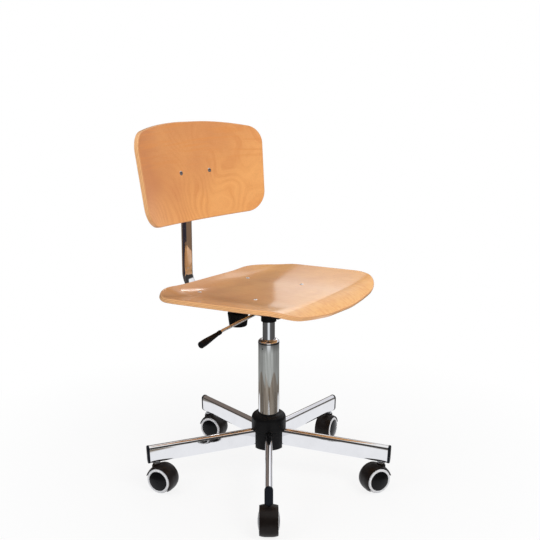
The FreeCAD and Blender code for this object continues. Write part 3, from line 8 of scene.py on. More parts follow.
# %% Load the model and its record
import json
import math

import bpy
import numpy as np
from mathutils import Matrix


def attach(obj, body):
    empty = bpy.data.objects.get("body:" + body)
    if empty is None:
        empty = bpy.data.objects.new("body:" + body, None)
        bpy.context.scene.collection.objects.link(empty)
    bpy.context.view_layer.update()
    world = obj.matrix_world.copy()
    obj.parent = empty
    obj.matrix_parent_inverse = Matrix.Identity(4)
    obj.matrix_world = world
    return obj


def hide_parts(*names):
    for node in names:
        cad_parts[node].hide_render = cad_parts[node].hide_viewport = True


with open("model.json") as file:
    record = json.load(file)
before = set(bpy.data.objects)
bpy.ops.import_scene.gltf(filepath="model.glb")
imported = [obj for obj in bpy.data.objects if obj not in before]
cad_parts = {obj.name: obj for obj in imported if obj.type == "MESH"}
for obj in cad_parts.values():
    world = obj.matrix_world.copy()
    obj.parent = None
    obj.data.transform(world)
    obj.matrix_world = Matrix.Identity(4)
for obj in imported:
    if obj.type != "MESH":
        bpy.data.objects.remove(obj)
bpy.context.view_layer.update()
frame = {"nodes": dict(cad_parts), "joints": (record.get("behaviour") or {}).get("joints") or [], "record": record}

record = frame["record"]
joints = {joint["name"]: joint for joint in frame["joints"]}

# %% [markdown]
# ## The camera
# The photograph was taken from the chair's front and right, from above, with the lens about 1.8 m away. A
# camera is an object with a place, a turn and a lens. It could be aimed at a target by a constraint, but
# two plain angles are easier to read and to correct: how far the view dips below level, and which way it
# faces on the floor. Both were found by fitting the seat, the back and the castors.

# %% Set up the camera
def add_object(name, data):
    """A new object of that data, which the scene shows."""
    item = bpy.data.objects.new(name, data)
    bpy.context.scene.collection.objects.link(item)
    return item


camera_place = (-1.4562, -1.0580, 0.873)
camera_dip = math.radians(12.1)
camera_heading = math.radians(-54.09)
camera_data = bpy.data.cameras.new("camera")
camera_data.lens = 55.0
camera_data.sensor_width = 36.0
camera = add_object("camera", camera_data)
camera.location = camera_place
camera.rotation_euler = (math.pi / 2 - camera_dip, 0.0, camera_heading)
bpy.context.scene.camera = camera
bpy.context.scene.view_settings.view_transform = "Standard"
print("camera at", camera_place, "lens", camera_data.lens, "mm")

# %% [markdown]
# ## Helpers for node trees
# Every finish here is a tree of nodes. It could be drawn by hand in the node editor, but then its sums
# can't be read. Adding a node takes several lines each time, so one short function does it: an input is
# given a plain value or another node's output. The other helpers are named for what they work out.

# %% Add a node and join it
def set_input(tree, socket, value):
    """Joins the socket to another node's output, or sets it to a plain value."""
    if isinstance(value, bpy.types.NodeSocket):
        tree.links.new(value, socket)
    else:
        socket.default_value = value


def add_node(tree, kind, inputs=None, **settings):
    """Adds a node of a kind, without its first word ShaderNode, with its settings and its inputs."""
    node = tree.nodes.new("ShaderNode" + kind)
    for name, value in settings.items():
        setattr(node, name, value)
    for name, value in (inputs or {}).items():
        set_input(tree, node.inputs[name], value)
    return node


print("helper for nodes ready")


# %% Do sums with nodes
def calculate(tree, operation, first, second=0.0, third=0.0):
    """One step of arithmetic on two or three values or outputs."""
    return add_node(tree, "Math", {0: first, 1: second, 2: third}, operation=operation).outputs[0]


def plus(tree, first, second):
    """The sum of two values or outputs."""
    return calculate(tree, "ADD", first, second)


def minus(tree, first, second):
    """The first less the second."""
    return calculate(tree, "SUBTRACT", first, second)


def times(tree, first, second):
    """The product of two values or outputs."""
    return calculate(tree, "MULTIPLY", first, second)


def remap(tree, value, low, high, to_low=0.0, to_high=1.0):
    """The value carried from one range into another, and held at its ends."""
    inputs = {"Value": value, "From Min": low, "From Max": high, "To Min": to_low, "To Max": to_high}
    return add_node(tree, "MapRange", inputs).outputs["Result"]


print("helpers for sums ready")


# %% Mix colours and shaders with nodes
def blend_colours(tree, share, first, second):
    """The first colour where share is 0, the second where it is 1, and a mix between."""
    mix = add_node(tree, "Mix", {"Factor": share}, data_type="RGBA")
    sockets = [socket for socket in mix.inputs if socket.type == "RGBA"]
    for socket, value in zip(sockets, (first, second)):
        set_input(tree, socket, (*value, 1.0) if isinstance(value, tuple) else value)
    return [socket for socket in mix.outputs if socket.type == "RGBA"][0]


def mix_shaders(tree, share, first, second):
    """The first shader where share is 0, the second where it is 1."""
    return add_node(tree, "MixShader", {0: share, 1: first, 2: second}).outputs[0]


print("helpers for colours and shaders ready")

# %% [markdown]
# ## The studio that the chrome shows
# The chair was photographed in a bright studio and cut out onto white, so the world is plain white where
# the camera sees it. Polished chrome has no colour of its own and shows only what stands round it. A
# picture of a studio could be wrapped round the scene, but a few coloured directions do the same and can
# be moved one by one: a dark wall low down all round, tallest at the chair's front right, a white ceiling
# over it, a pale panel on the left and a dim warm stretch at the rear right. The softer light that falls
# on the chair comes from the same world at a lower strength.

# %% Find where a direction points
front_right = (-0.809, -0.588)
rear_right = (-0.588, 0.809)


def reach(tree, x, y, level_direction):
    """How far (x, y) reaches along a level direction: x times its first part plus y times its second."""
    return plus(tree, times(tree, x, level_direction[0]), times(tree, y, level_direction[1]))


world = bpy.data.worlds.new("studio")
bpy.context.scene.world = world
world.use_nodes = True
tree = world.node_tree
tree.nodes.clear()
direction = add_node(tree, "TexCoord").outputs["Generated"]
x, y, height = add_node(tree, "SeparateXYZ", {0: direction}).outputs
to_front_right = reach(tree, x, y, front_right)
to_rear_right = reach(tree, x, y, rear_right)
print("nodes for directions:", len(tree.nodes))

# %% Colour the directions
ceiling_colour = (1.0, 1.0, 1.0)
wall_colour = (0.050, 0.047, 0.045)
panel_colour = (0.8, 0.8, 0.85)
dim_colour = (0.13, 0.09, 0.07)
wall_top = remap(tree, to_front_right, -0.6, 0.8, 0.12, 0.84)
over_wall = remap(tree, minus(tree, height, wall_top), -0.03, 0.05)
wall_share = times(tree, remap(tree, height, -0.02, 0.02), minus(tree, 1.0, over_wall))
low_share = remap(tree, height, 0.68, 0.88, 1.0, 0.0)
rear_left_share = remap(tree, to_front_right, -0.5, -0.2, 1.0, 0.0)
front_left_share = remap(tree, to_rear_right, -0.30, -0.12, 1.0, 0.0)
panel_share = times(tree, times(tree, low_share, rear_left_share), front_left_share)
dim_share = times(tree, low_share, remap(tree, to_rear_right, -0.22, -0.04, 0.0, 0.92))
sky = blend_colours(tree, dim_share, ceiling_colour, dim_colour)
sky = blend_colours(tree, panel_share, sky, panel_colour)
reflected = blend_colours(tree, wall_share, sky, wall_colour)
print("nodes with the colours:", len(tree.nodes))

# %% Show each kind of ray its own world
pure_white = (1.0, 1.0, 1.0, 1.0)
path = add_node(tree, "LightPath").outputs
soft = add_node(tree, "Background", {"Color": (0.97, 0.985, 1.0, 1.0), "Strength": 0.62})
white = add_node(tree, "Background", {"Color": pure_white, "Strength": 1.0})
mirrored = add_node(tree, "Background", {"Color": reflected, "Strength": 1.0})
seen = calculate(tree, "MAXIMUM", path["Is Camera Ray"], path["Is Transmission Ray"])
lit = mix_shaders(tree, path["Is Glossy Ray"], soft.outputs[0], mirrored.outputs[0])
add_node(tree, "OutputWorld", {"Surface": mix_shaders(tree, seen, lit, white.outputs[0])})
print("world nodes:", len(tree.nodes))

# %% [markdown]
# ## Lamps
# Two large square lamps, one before the chair and a weaker one on its right, give soft shadows. In chrome
# and lacquer they would be glaring squares, so shiny surfaces see dimmer panels in their places, a window
# behind the seat's left, whose sheen lies on the lacquer, and a narrow slit, which gives the small bright
# spot at the seat's rear left. A panel's brightness is easier to judge than its power, so the power is
# worked out from it.

# %% Define the lamps and the panels
def add_lamp(name, place, target, size, power, colour):
    """A square lamp of the given size at a place, turned to shine on the target."""
    data = bpy.data.lights.new(name, "AREA")
    data.shape = "SQUARE"
    data.size = size
    data.energy = power
    data.color = colour
    lamp = add_object(name, data)
    lamp.location = place
    away = np.array(place) - np.array(target)
    flat = math.hypot(away[0], away[1])
    lamp.rotation_euler = (math.atan2(flat, away[2]), 0.0, math.atan2(away[1], away[0]) + math.pi / 2)
    return lamp


def add_mirrored_panel(name, place, target, width, tall, brightness):
    """A panel that only shiny surfaces show; its power is brightness x pi x width x height."""
    panel = add_lamp(name, place, target, width, brightness * math.pi * width * tall, (1.0, 1.0, 1.0))
    panel.data.shape = "RECTANGLE"
    panel.data.size_y = tall
    panel.visible_diffuse = False
    panel.visible_camera = False
    return panel


print("helpers for lamps ready")

# %% Hang the lamps and the panels
lamp_target = (0.0, 0.0, 0.45)
for name, place, size, power, colour in (
    ("key_lamp", (-0.6, -2.3, 2.3), 1.5, 34.0, (1.0, 0.985, 0.96)),
    ("side_lamp", (-2.2, 1.0, 2.0), 1.2, 12.0, (0.96, 0.98, 1.0)),
):
    lamp = add_lamp(name, place, lamp_target, size, power, colour)
    lamp.visible_glossy = False
    lamp.visible_camera = False
    add_mirrored_panel(name + "_mirrored", place, lamp_target, size, size, 1.2)
add_mirrored_panel("window", (0.885, 0.486, 0.76), (-0.05, -0.10, 0.50), 0.25, 0.50, 1.0)
add_mirrored_panel("slit", (0.343, 0.440, 0.730), (-0.115, 0.152, 0.45), 0.012, 0.12, 9.0)

# %% [markdown]
# ## Helpers for surface materials
# A pattern could be painted on an unwrapped map, but a map has seams. Here the patterns read the point of
# the surface in metres, so that a grain of half a millimetre is just that and runs round every corner.

# %% Start a material and join its surface
def start_material(name, **values):
    """A new material with the named values on the shader's own sockets; gives it, its tree and shader."""
    material = bpy.data.materials.new(name)
    material.use_nodes = True
    tree = material.node_tree
    shader = tree.nodes["Principled BSDF"]
    for socket, value in values.items():
        shader.inputs[socket.replace("_", " ")].default_value = value
    return material, tree, shader


def join_surface(tree, shader, colour, roughness, height=None, strength=0.0, distance=0.0):
    """Joins a colour, a roughness and, where there is a height, a bump of that strength and distance."""
    tree.links.new(colour, shader.inputs["Base Color"])
    tree.links.new(roughness, shader.inputs["Roughness"])
    if height is not None:
        bump = add_node(tree, "Bump", {"Height": height, "Strength": strength, "Distance": distance})
        tree.links.new(bump.outputs[0], shader.inputs["Normal"])


print("helpers for materials ready")


# %% Place and draw a pattern
def object_place(tree, scale=(1.0, 1.0, 1.0), turn=(0.0, 0.0, 0.0), shift=(0.0, 0.0, 0.0)):
    """The surface point in metres, as the object's own coordinates, moved, turned and stretched."""
    place = add_node(tree, "TexCoord").outputs["Object"]
    inputs = {"Vector": place, "Location": shift, "Rotation": turn, "Scale": scale}
    return add_node(tree, "Mapping", inputs).outputs["Vector"]


def noise(tree, place, scale, detail=3.0, roughness=0.5, distortion=0.0):
    """A smooth random value from 0 to 1 that changes over about 1/scale of a metre."""
    inputs = {"Vector": place, "Scale": scale, "Detail": detail, "Roughness": roughness}
    inputs["Distortion"] = distortion
    return add_node(tree, "TexNoise", inputs).outputs[0]


def carried(tree, name):
    """A value that the piece's mesh carries at each point."""
    return add_node(tree, "Attribute", attribute_name=name).outputs["Fac"]


def darker(colour, share):
    """The colour with each of its parts times the share."""
    return tuple(share * part for part in colour)


print("helpers for patterns ready")

# %% [markdown]
# ## The floor
# The floor is a plain pale disc that takes the chair's soft shadow and fades to white further off. The
# photographed chrome shows more than that: a warm mat with pointed corners, a cool grey floor, a strip
# across it, and a warm brown far away. These could be real sheets, but then they would lie in the picture
# too. So they are zones of the floor's material that only rays off a shiny surface see. A zone follows
# the distance from the column and the direction round it.

# %% Measure the floor from the column
floor_material, tree, shader = start_material("pale_floor", Roughness=0.9, Specular_IOR_Level=0.0)
shader.inputs["Base Color"].default_value = (0.88, 0.88, 0.885, 1.0)
front_right_angle = -2.51
x, y, _ = add_node(tree, "SeparateXYZ", {0: object_place(tree)}).outputs
away = calculate(tree, "SQRT", plus(tree, times(tree, x, x), times(tree, y, y)))
round_angle = calculate(tree, "ARCTAN2", y, x)
facing = calculate(tree, "COSINE", minus(tree, round_angle, front_right_angle))
streak_place = add_node(tree, "CombineXYZ", {0: round_angle, 1: times(tree, away, 0.35)}).outputs[0]
streaks = noise(tree, streak_place, 7.0, 2.0)
print("floor nodes:", len(tree.nodes))

# %% Colour the mat
near_side_angle = -2.41
corner_waves = 1.7
mat_radius = 0.62
corner_reach = 0.13
corner_wave = calculate(tree, "SINE", times(tree, minus(tree, round_angle, near_side_angle), corner_waves))
corner = calculate(tree, "POWER", calculate(tree, "ABSOLUTE", corner_wave), 2.0)
mat_edge = calculate(tree, "MULTIPLY_ADD", corner, corner_reach, mat_radius)
mat_colour = blend_colours(tree, remap(tree, streaks, 0.42, 0.62), (0.17, 0.135, 0.10), (0.42, 0.38, 0.33))
print("mat from", mat_radius, "to", mat_radius + corner_reach, "m")

# %% Colour what lies beyond the mat
brown = (0.10, 0.065, 0.045)
night = (0.03, 0.025, 0.035)
amber = (0.34, 0.19, 0.105)
strip = blend_colours(tree, remap(tree, facing, 0.90, 0.985), (0.10, 0.10, 0.10), (0.80, 0.83, 0.86))
warm = blend_colours(tree, remap(tree, facing, 0.0, 0.2), amber, night)
warm = blend_colours(tree, remap(tree, facing, -0.80, -0.60), night, warm)
beyond = blend_colours(tree, remap(tree, streaks, 0.35, 0.7), (0.33, 0.34, 0.325), (0.54, 0.56, 0.54))
for start, end, colour in ((0.95, 1.06, strip), (1.7, 2.1, brown), (2.1, 2.3, warm)):
    beyond = blend_colours(tree, remap(tree, away, start, end), beyond, colour)
print("floor nodes:", len(tree.nodes))

# %% Join the zones
pale_radius = 0.36
past_mat = remap(tree, minus(tree, away, mat_edge), -0.006, 0.012)
outer = blend_colours(tree, past_mat, mat_colour, beyond)
shade = remap(tree, facing, 0.40, 0.85, 0.45, 0.0)
outer = blend_colours(tree, shade, outer, (0.07, 0.065, 0.06))
side_lobes = remap(tree, calculate(tree, "ABSOLUTE", plus(tree, facing, 0.58)), 0.14, 0.26, 0.18, 0.0)
middle_lobe = remap(tree, facing, 0.985, 0.997, 0.0, 0.14)
inner_edge = plus(tree, pale_radius, plus(tree, side_lobes, middle_lobe))
past_pale = remap(tree, minus(tree, away, inner_edge), -0.015, 0.015)
zones = blend_colours(tree, past_pale, (0.93, 0.94, 0.97), outer)
print("floor nodes:", len(tree.nodes))

# %% Show each kind of ray its own floor
glow = add_node(tree, "Emission", {"Color": zones, "Strength": 1.0})
plain = add_node(tree, "Emission", {"Color": pure_white, "Strength": 1.0})
fade = remap(tree, away, 0.30, 0.95, 0.84, 1.0)
shown = mix_shaders(tree, fade, shader.outputs[0], plain.outputs[0])
path = add_node(tree, "LightPath").outputs
mirrored = mix_shaders(tree, path["Is Glossy Ray"], shader.outputs[0], glow.outputs[0])
surface = mix_shaders(tree, path["Is Camera Ray"], mirrored, shown)
tree.links.new(surface, tree.nodes["Material Output"].inputs["Surface"])
print("floor nodes:", len(tree.nodes))


# %% Lay the floor
def disc_mesh(name, radius, height, count=96):
    """A flat disc: points evenly round a circle, radius times (cosine, sine), joined into one face."""
    angle = np.arange(count) * 2 * math.pi / count
    points = np.stack([radius * np.cos(angle), radius * np.sin(angle), np.full(count, height)], axis=1)
    mesh = bpy.data.meshes.new(name)
    mesh.from_pydata(points, [], [list(range(count))])
    return mesh


floor_radius = 6.0
floor_level = -0.0002
floor = add_object("floor", disc_mesh("floor", floor_radius, floor_level))
floor.data.materials.append(floor_material)
print("floor radius", floor_radius, "m")

# %% [markdown]
# ## Chrome and zinc
# The arms, the column, the back tube and the lever are steel with bright chrome, and the axles and pins
# are zinc plated. Both are metals of an almost neutral colour. One roughness all over would look like a
# drawing: handling leaves faint smears. So the roughness comes from a soft noise between two low values,
# and the smears are a shade darker.

# %% Make the chrome and the zinc
def bright_metal(name, colour, smooth, smeared, smear_size):
    """A bright metal whose roughness changes softly between the two given values."""
    material, tree, shader = start_material(name, Metallic=1.0)
    smears = noise(tree, object_place(tree), 1.0 / smear_size, 4.0, 0.55)
    tint = blend_colours(tree, remap(tree, smears, 0.3, 0.8), colour, darker(colour, 0.93))
    join_surface(tree, shader, tint, remap(tree, smears, 0.35, 0.75, smooth, smeared))
    return material


chrome = bright_metal("bright_chrome", (0.86, 0.86, 0.87), 0.03, 0.09, 0.03)
zinc = bright_metal("zinc_plate", (0.66, 0.67, 0.69), 0.22, 0.36, 0.008)
print("metals:", chrome.name, zinc.name)

# %% [markdown]
# ## Black nylon, black steel and polished black
# The caps, the hub cover and the knob are moulded in nylon with a fine spark grain. The grain could be
# modelled, but at half a millimetre a bump from a fast noise does as well, and the roughness wanders a
# little. The caps carry a painted blue sheen and the castor hoods a painted brown sheen, tinted into their
# black. The wheel discs are polished, and the carrier under the seat is powder coated, which is dimpled
# like an orange.

# %% Make the blacks
def black_finish(name, colour, roughness, grain_size, grain_height, wear, shine):
    """A black skin: its roughness wanders between two values, and a fine noise raises the grain."""
    material, tree, shader = start_material(name, Specular_IOR_Level=shine)
    place = object_place(tree)
    cloud = noise(tree, place, 18.0, 5.0, 0.6)
    grain = noise(tree, place, 1.0 / grain_size, 2.0, 0.6)
    dusty = tuple(part + wear for part in colour)
    tint = blend_colours(tree, remap(tree, cloud, 0.35, 0.75), colour, dusty)
    join_surface(tree, shader, tint, remap(tree, cloud, 0.3, 0.7, *roughness), grain, 0.6, grain_height)
    return material


nylon, blue_sheen_nylon, brownish, polished, powder = (black_finish(*row) for row in (
    ("grained_black_nylon", (0.004, 0.004, 0.0045), (0.36, 0.50), 0.0006, 0.00005, 0.003, 0.14),
    # The caps and the hoods carry a painted blue and a painted brown sheen in their black.
    ("cap_nylon_painted_blue_sheen", (0.004, 0.006, 0.011), (0.32, 0.44), 0.0006, 0.00005, 0.002, 0.14),
    ("brownish_hood_nylon", (0.009, 0.006, 0.005), (0.30, 0.42), 0.0008, 0.00004, 0.003, 0.16),
    ("polished_black", (0.003, 0.003, 0.004), (0.20, 0.28), 0.004, 0.00002, 0.001, 0.14),
    ("black_powder_coat", (0.006, 0.006, 0.007), (0.32, 0.44), 0.0012, 0.00010, 0.003, 0.16),
))
print("blacks:", [finish.name for finish in (nylon, blue_sheen_nylon, brownish, polished, powder)])

# %% [markdown]
# ## Lacquered beech veneer
# The shells are beech plywood whose face veneer was peeled off the log, so it shows broad flames where
# the knife crossed the year rings. A picture of veneer could be laid on, but it would stretch at the
# bends. The flames are like the lines of a map: level lines of a hill, bent by noise. The hill flattens
# away from its top, so the lines spread there, and a second noise makes them calm in one place and strong
# in the next.

# %% Draw the flames
def stretched(tree, place, scale):
    """The place with each axis scaled, so that a noise is drawn out along an axis whose scale is small."""
    return add_node(tree, "Mapping", {"Vector": place, "Scale": scale}).outputs[0]


def flame_lines(tree, turned, figure):
    """Level lines of a bent hill.

    With d the stretched distance from the hill's top, the field is d / (d + 0.1), times 1 plus a share of
    a slow noise, plus a little of a quicker one. The lines are 0.5 + 0.5 sin(2 pi field / width), plus a
    fifth of a sine about three times as quick, and all that times a noise between calm and strong.
    """
    bend = noise(tree, turned, 7.0, 1.5)
    ripple = noise(tree, turned, 30.0, 2.0)
    shift = tuple(-place * scale for place, scale in zip(figure["hill_top"], figure["hill_stretch"]))
    from_top = object_place(tree, scale=figure["hill_stretch"], shift=shift)
    distance = add_node(tree, "VectorMath", {0: from_top}, operation="LENGTH").outputs["Value"]
    flattened = calculate(tree, "DIVIDE", distance, plus(tree, distance, 0.1))
    stray = calculate(tree, "MULTIPLY_ADD", bend, figure["bend_share"], 1.0)
    field = calculate(tree, "MULTIPLY_ADD", flattened, stray, times(tree, ripple, 0.010))
    wave = calculate(tree, "SINE", times(tree, field, 2 * math.pi / figure["flame_width"]))
    finer = calculate(tree, "SINE", times(tree, field, 6.3 * math.pi / figure["flame_width"]))
    lines = calculate(tree, "MULTIPLY_ADD", wave, 0.5, 0.5)
    lines = calculate(tree, "MULTIPLY_ADD", finer, 0.20, lines)
    strong = remap(tree, noise(tree, turned, 11.0, 2.0), 0.40, 0.62, 0.20, 1.0)
    return times(tree, lines, strong)


print("flames ready")

# %% [markdown]
# ### The face, the lip and the edge
# Over the flames lie slow patches from honey to pink, darker bands in the upper back, fine fibres and
# short dark flecks, all of them noises drawn out along the grain. Painted shade is added to the patches:
# a slant along a fixed direction makes both shells pinker and darker towards negative x, the seat also
# towards its rear and the back also towards its top. The bent front of the seat is painted brighter and
# more golden, as painted light on the bend that faces the light. On the edge the veneers show as layers,
# light and dark by turns. They can't follow a place in space, because the shells are bent, so each mesh
# carries its depth, its edge and its lip as values, and the material reads these.

# %% Colour the face
def face_colour(tree, turned, fibres, figure):
    """The face veneer, each layer mixed over the one before, from the pale ground to the dark flecks."""
    pale, deep, pink = figure["colours"]
    flame_share = times(tree, flame_lines(tree, turned, figure), figure["flame_share"])
    colour = blend_colours(tree, flame_share, pale, deep)
    # Painted shade: a slant along the figure's fixed drift direction is added to the slow patches, so the shell
    # turns pinker and darker towards one side.
    from_hinge = object_place(tree, shift=(0.0, 0.0, -0.70))
    painted_shade_slant = add_node(tree, "VectorMath", {0: from_hinge, 1: figure["painted_shade_drift"]}, operation="DOT_PRODUCT")
    patchy_tone_and_painted_shade = plus(tree, noise(tree, turned, 5.0, 2.0), painted_shade_slant.outputs["Value"])
    colour = blend_colours(tree, remap(tree, patchy_tone_and_painted_shade, 0.30, 0.75, 0.0, 0.9), colour, pink)
    upper = remap(tree, add_node(tree, "SeparateXYZ", {0: from_hinge}).outputs[2], -0.01, 0.04)
    band_noise = noise(tree, stretched(tree, turned, (16.0, 1.0, 1.0)), 6.0, 3.0, 0.6, 0.6)
    bands = times(tree, upper, remap(tree, band_noise, 0.46, 0.60))
    colour = blend_colours(tree, times(tree, bands, 0.55), colour, deep)
    fibre_share = times(tree, remap(tree, fibres, 0.35, 0.7), 0.22)
    colour = blend_colours(tree, fibre_share, colour, darker(deep, 0.72))
    fleck_noise = noise(tree, stretched(tree, turned, (1.0, 0.16, 1.0)), 1300.0, 1.0)
    fleck_share = times(tree, remap(tree, fleck_noise, 0.66, 0.74), 0.35)
    return blend_colours(tree, fleck_share, colour, darker(deep, 0.45))


print("face colours ready")


# %% Colour the lip and the edge
def painted_light_lip_colour(tree):
    """Painted light: the front of the seat drawn brighter and more golden where it faces the light, streaked along
    the grain.
    """
    streak_noise = noise(tree, stretched(tree, object_place(tree), (1.0, 0.12, 1.0)), 130.0, 3.0, 0.6)
    streak_share = remap(tree, streak_noise, 0.42, 0.66)
    return blend_colours(tree, streak_share, (1.00, 0.54, 0.18), (0.88, 0.40, 0.115))


def edge_colour(tree, turned, deep):
    """Seven layers, light and dark by turns: the sine of 7 pi times the depth, with speckles over it."""
    wave = calculate(tree, "SINE", times(tree, carried(tree, "ply_depth"), math.pi * 7.0))
    dark_share = remap(tree, wave, -0.4, 0.4, 0.0, 0.7)
    plies = blend_colours(tree, dark_share, (1.0, 0.56, 0.25), (0.66, 0.28, 0.10))
    speckle_share = times(tree, remap(tree, noise(tree, turned, 900.0, 2.0, 0.6), 0.4, 0.7), 0.2)
    return blend_colours(tree, speckle_share, plies, darker(deep, 0.6))


def veneer_finish(name, figure):
    """Beech under clear lacquer: the face, the painted light of the lip over it, and the plies where the mesh says
    edge.
    """
    coat_weight, coat_roughness = figure["coat"]
    material, tree, shader = start_material(
        name, Coat_Weight=coat_weight, Coat_Roughness=coat_roughness, Coat_IOR=1.5, Specular_IOR_Level=0.3,
    )
    turned = object_place(tree, turn=figure["grain_turn"])
    fibres = noise(tree, stretched(tree, turned, (1.0, 0.05, 1.0)), 420.0, 3.0, 0.6)
    face = face_colour(tree, turned, fibres, figure)
    # Painted light: the brighter golden lip colour is mixed over the face where the mesh marks the bent front.
    face = blend_colours(tree, times(tree, carried(tree, "painted_light_lip_share"), 0.75), face, painted_light_lip_colour(tree))
    plies = edge_colour(tree, turned, figure["colours"][1])
    colour = blend_colours(tree, carried(tree, "edge_share"), face, plies)
    join_surface(tree, shader, colour, remap(tree, fibres, 0.3, 0.7, 0.42, 0.55), fibres, 0.25, 0.00008)
    return material


print("veneer ready")

# %% Make the two veneers
# The drift is painted shade: darker towards negative x and the rear on the seat, towards negative x and the top on
# the back.
seat_figure = {
    "colours": ((0.95, 0.49, 0.155), (0.80, 0.34, 0.10), (0.66, 0.29, 0.10)),
    "hill_top": (0.03, 0.9, 0.44), "hill_stretch": (1.0, 0.32, 0.2), "grain_turn": (0.0, 0.0, 0.0),
    "flame_width": 0.027, "flame_share": 0.45, "bend_share": 0.20, "painted_shade_drift": (-0.70, 1.3, 0.0),
    "coat": (0.80, 0.14),
}
back_figure = {
    "colours": ((1.00, 0.49, 0.165), (0.84, 0.33, 0.09), (0.70, 0.27, 0.10)),
    "hill_top": (-0.24, 0.24, 0.565), "hill_stretch": (1.0, 0.3, 1.0), "grain_turn": (0.0, math.pi / 2, 0.0),
    "flame_width": 0.024, "flame_share": 0.60, "bend_share": 0.36, "painted_shade_drift": (-0.75, 0.0, 2.2),
    "coat": (0.6, 0.16),
}
seat_wood = veneer_finish("seat_beech", seat_figure)
back_wood = veneer_finish("back_beech", back_figure)
print("veneers:", seat_wood.name, back_wood.name)

# %% [markdown]
# ## Tyre rubber
# Each wheel wears a soft tyre: a smooth grey ring round its outer shoulder and a black ribbed tread. They
# could be two meshes with a material each, but the real tyre is one moulding with a soft line between its
# colours. So one material mixes the two colours by a value that the tyre's mesh carries.

# %% Make the rubber
rubber, tree, shader = start_material("tyre_rubber", Roughness=0.5)
place = object_place(tree)
dust = noise(tree, place, 60.0, 4.0, 0.6)
pale_rubber = blend_colours(tree, dust, (0.70, 0.70, 0.72), (0.80, 0.80, 0.82))
dark_rubber = blend_colours(tree, dust, (0.016, 0.014, 0.014), (0.030, 0.026, 0.026))
rubber_colour = blend_colours(tree, carried(tree, "pale_share"), dark_rubber, pale_rubber)
skin = noise(tree, place, 2500.0, 2.0)
join_surface(tree, shader, rubber_colour, remap(tree, dust, 0.3, 0.7, 0.38, 0.52), skin, 0.4, 0.00003)
print("rubber:", rubber.name)

# %% [markdown]
# ## From a grid of points to a mesh
# Every new piece below is a grid of points: rows that follow one another along a profile, each row closed
# round the piece. Two neighbouring rows make a ring of four-sided faces. A row whose points all fall
# together is a pole and becomes one vertex with a fan of triangles, so that the surface closes without a
# pinhole. Blender's own Spin and Screw tools make such surfaces too, but only round a circle, and here
# the rows follow ovals, crosses and outlines.

# %% Join the grid into faces
def grid_faces(rows, poles, looped):
    """Four corners a face: (i, j), (i, j+1), (i+1, j+1) and (i+1, j), with j counted round the row.

    A pole's row has one number for all its points. In a looped grid the last row joins the first.
    """
    count, columns = rows.shape[:2]
    index = np.arange(count * columns).reshape(count, columns)
    if poles[0]:
        index[0] = index[0, 0]
    if poles[1]:
        index[-1] = index[-1, 0]
    near = np.concatenate([index, index[:1]]) if looped else index
    after = np.roll(near, -1, axis=1)
    return np.stack([near[:-1], after[:-1], after[1:], near[1:]], axis=-1).reshape(-1, 4)


def volume_under(points, quads):
    """The volume inside: a . (b x c) / 6 over two triangles a face, negative if they face inwards."""
    first, second, third, fourth = (points[quads[:, corner]] for corner in range(4))
    return (np.cross(second, third) * first).sum() / 6 + (np.cross(third, fourth) * first).sum() / 6


print("helpers for faces ready")


# %% Fill a mesh from whole arrays
def fill_mesh(name, points, quads):
    """A smooth mesh; a corner that repeats the one before it is left out, so its face is a triangle."""
    keep = np.ones(quads.shape, bool)
    keep[:, 1:] = quads[:, 1:] != quads[:, :-1]
    keep[:, 0] = quads[:, 0] != quads[:, 3]
    sizes = keep.sum(axis=1)
    mesh = bpy.data.meshes.new(name)
    mesh.vertices.add(len(points))
    mesh.vertices.foreach_set("co", points.astype(np.float32).ravel())
    mesh.loops.add(int(sizes.sum()))
    mesh.loops.foreach_set("vertex_index", quads[keep].astype(np.int32))
    mesh.polygons.add(len(quads))
    mesh.polygons.foreach_set("loop_start", np.concatenate([[0], np.cumsum(sizes)[:-1]]).astype(np.int32))
    mesh.polygons.foreach_set("use_smooth", np.ones(len(quads), bool))
    mesh.update(calc_edges=True)
    mesh.validate()
    return mesh


def per_row(values, columns):
    """One value for each row, given to every point of that row."""
    return np.repeat(values, columns).reshape(-1, columns)


print("helpers for meshes ready")


# %% Make a piece of the chair
def grid_piece(name, rows, material, body, poles=(True, True), looped=False, attributes=None):
    """A closed surface from rows of points, shape (rows, columns, 3), that rides on a body.

    If the volume under the faces is negative, all of them are turned over. The attributes are values for
    the grid's points, which the mesh carries for its material.
    """
    points = rows.reshape(-1, 3)
    quads = grid_faces(rows, poles, looped)
    volume = volume_under(points, quads)
    if volume < 0:
        quads = quads[:, ::-1]
    used, compact = np.unique(quads, return_inverse=True)
    mesh = fill_mesh(name, points[used], compact.reshape(-1, 4))
    for key, values in (attributes or {}).items():
        layer = mesh.attributes.new(key, "FLOAT", "POINT")
        layer.data.foreach_set("value", values.reshape(-1)[used].astype(np.float32))
    piece = add_object(name, mesh)
    mesh.materials.append(material)
    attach(piece, body)
    print(name, "faces", len(mesh.polygons), "volume", round(abs(volume) * 1e6, 2), "cm3")
    return piece


print("helper for pieces ready")

# %% [markdown]
# ## The plywood shells
# A shell is a sheet with a rounded outline, bent in two ways and cut to an even thickness. It could be a
# flat sheet pushed about with a modifier, but then the edge leans and thins. Here the outline is laid out
# flat, a height is worked out for every point of it, and the thickness is measured square to the bent
# surface.

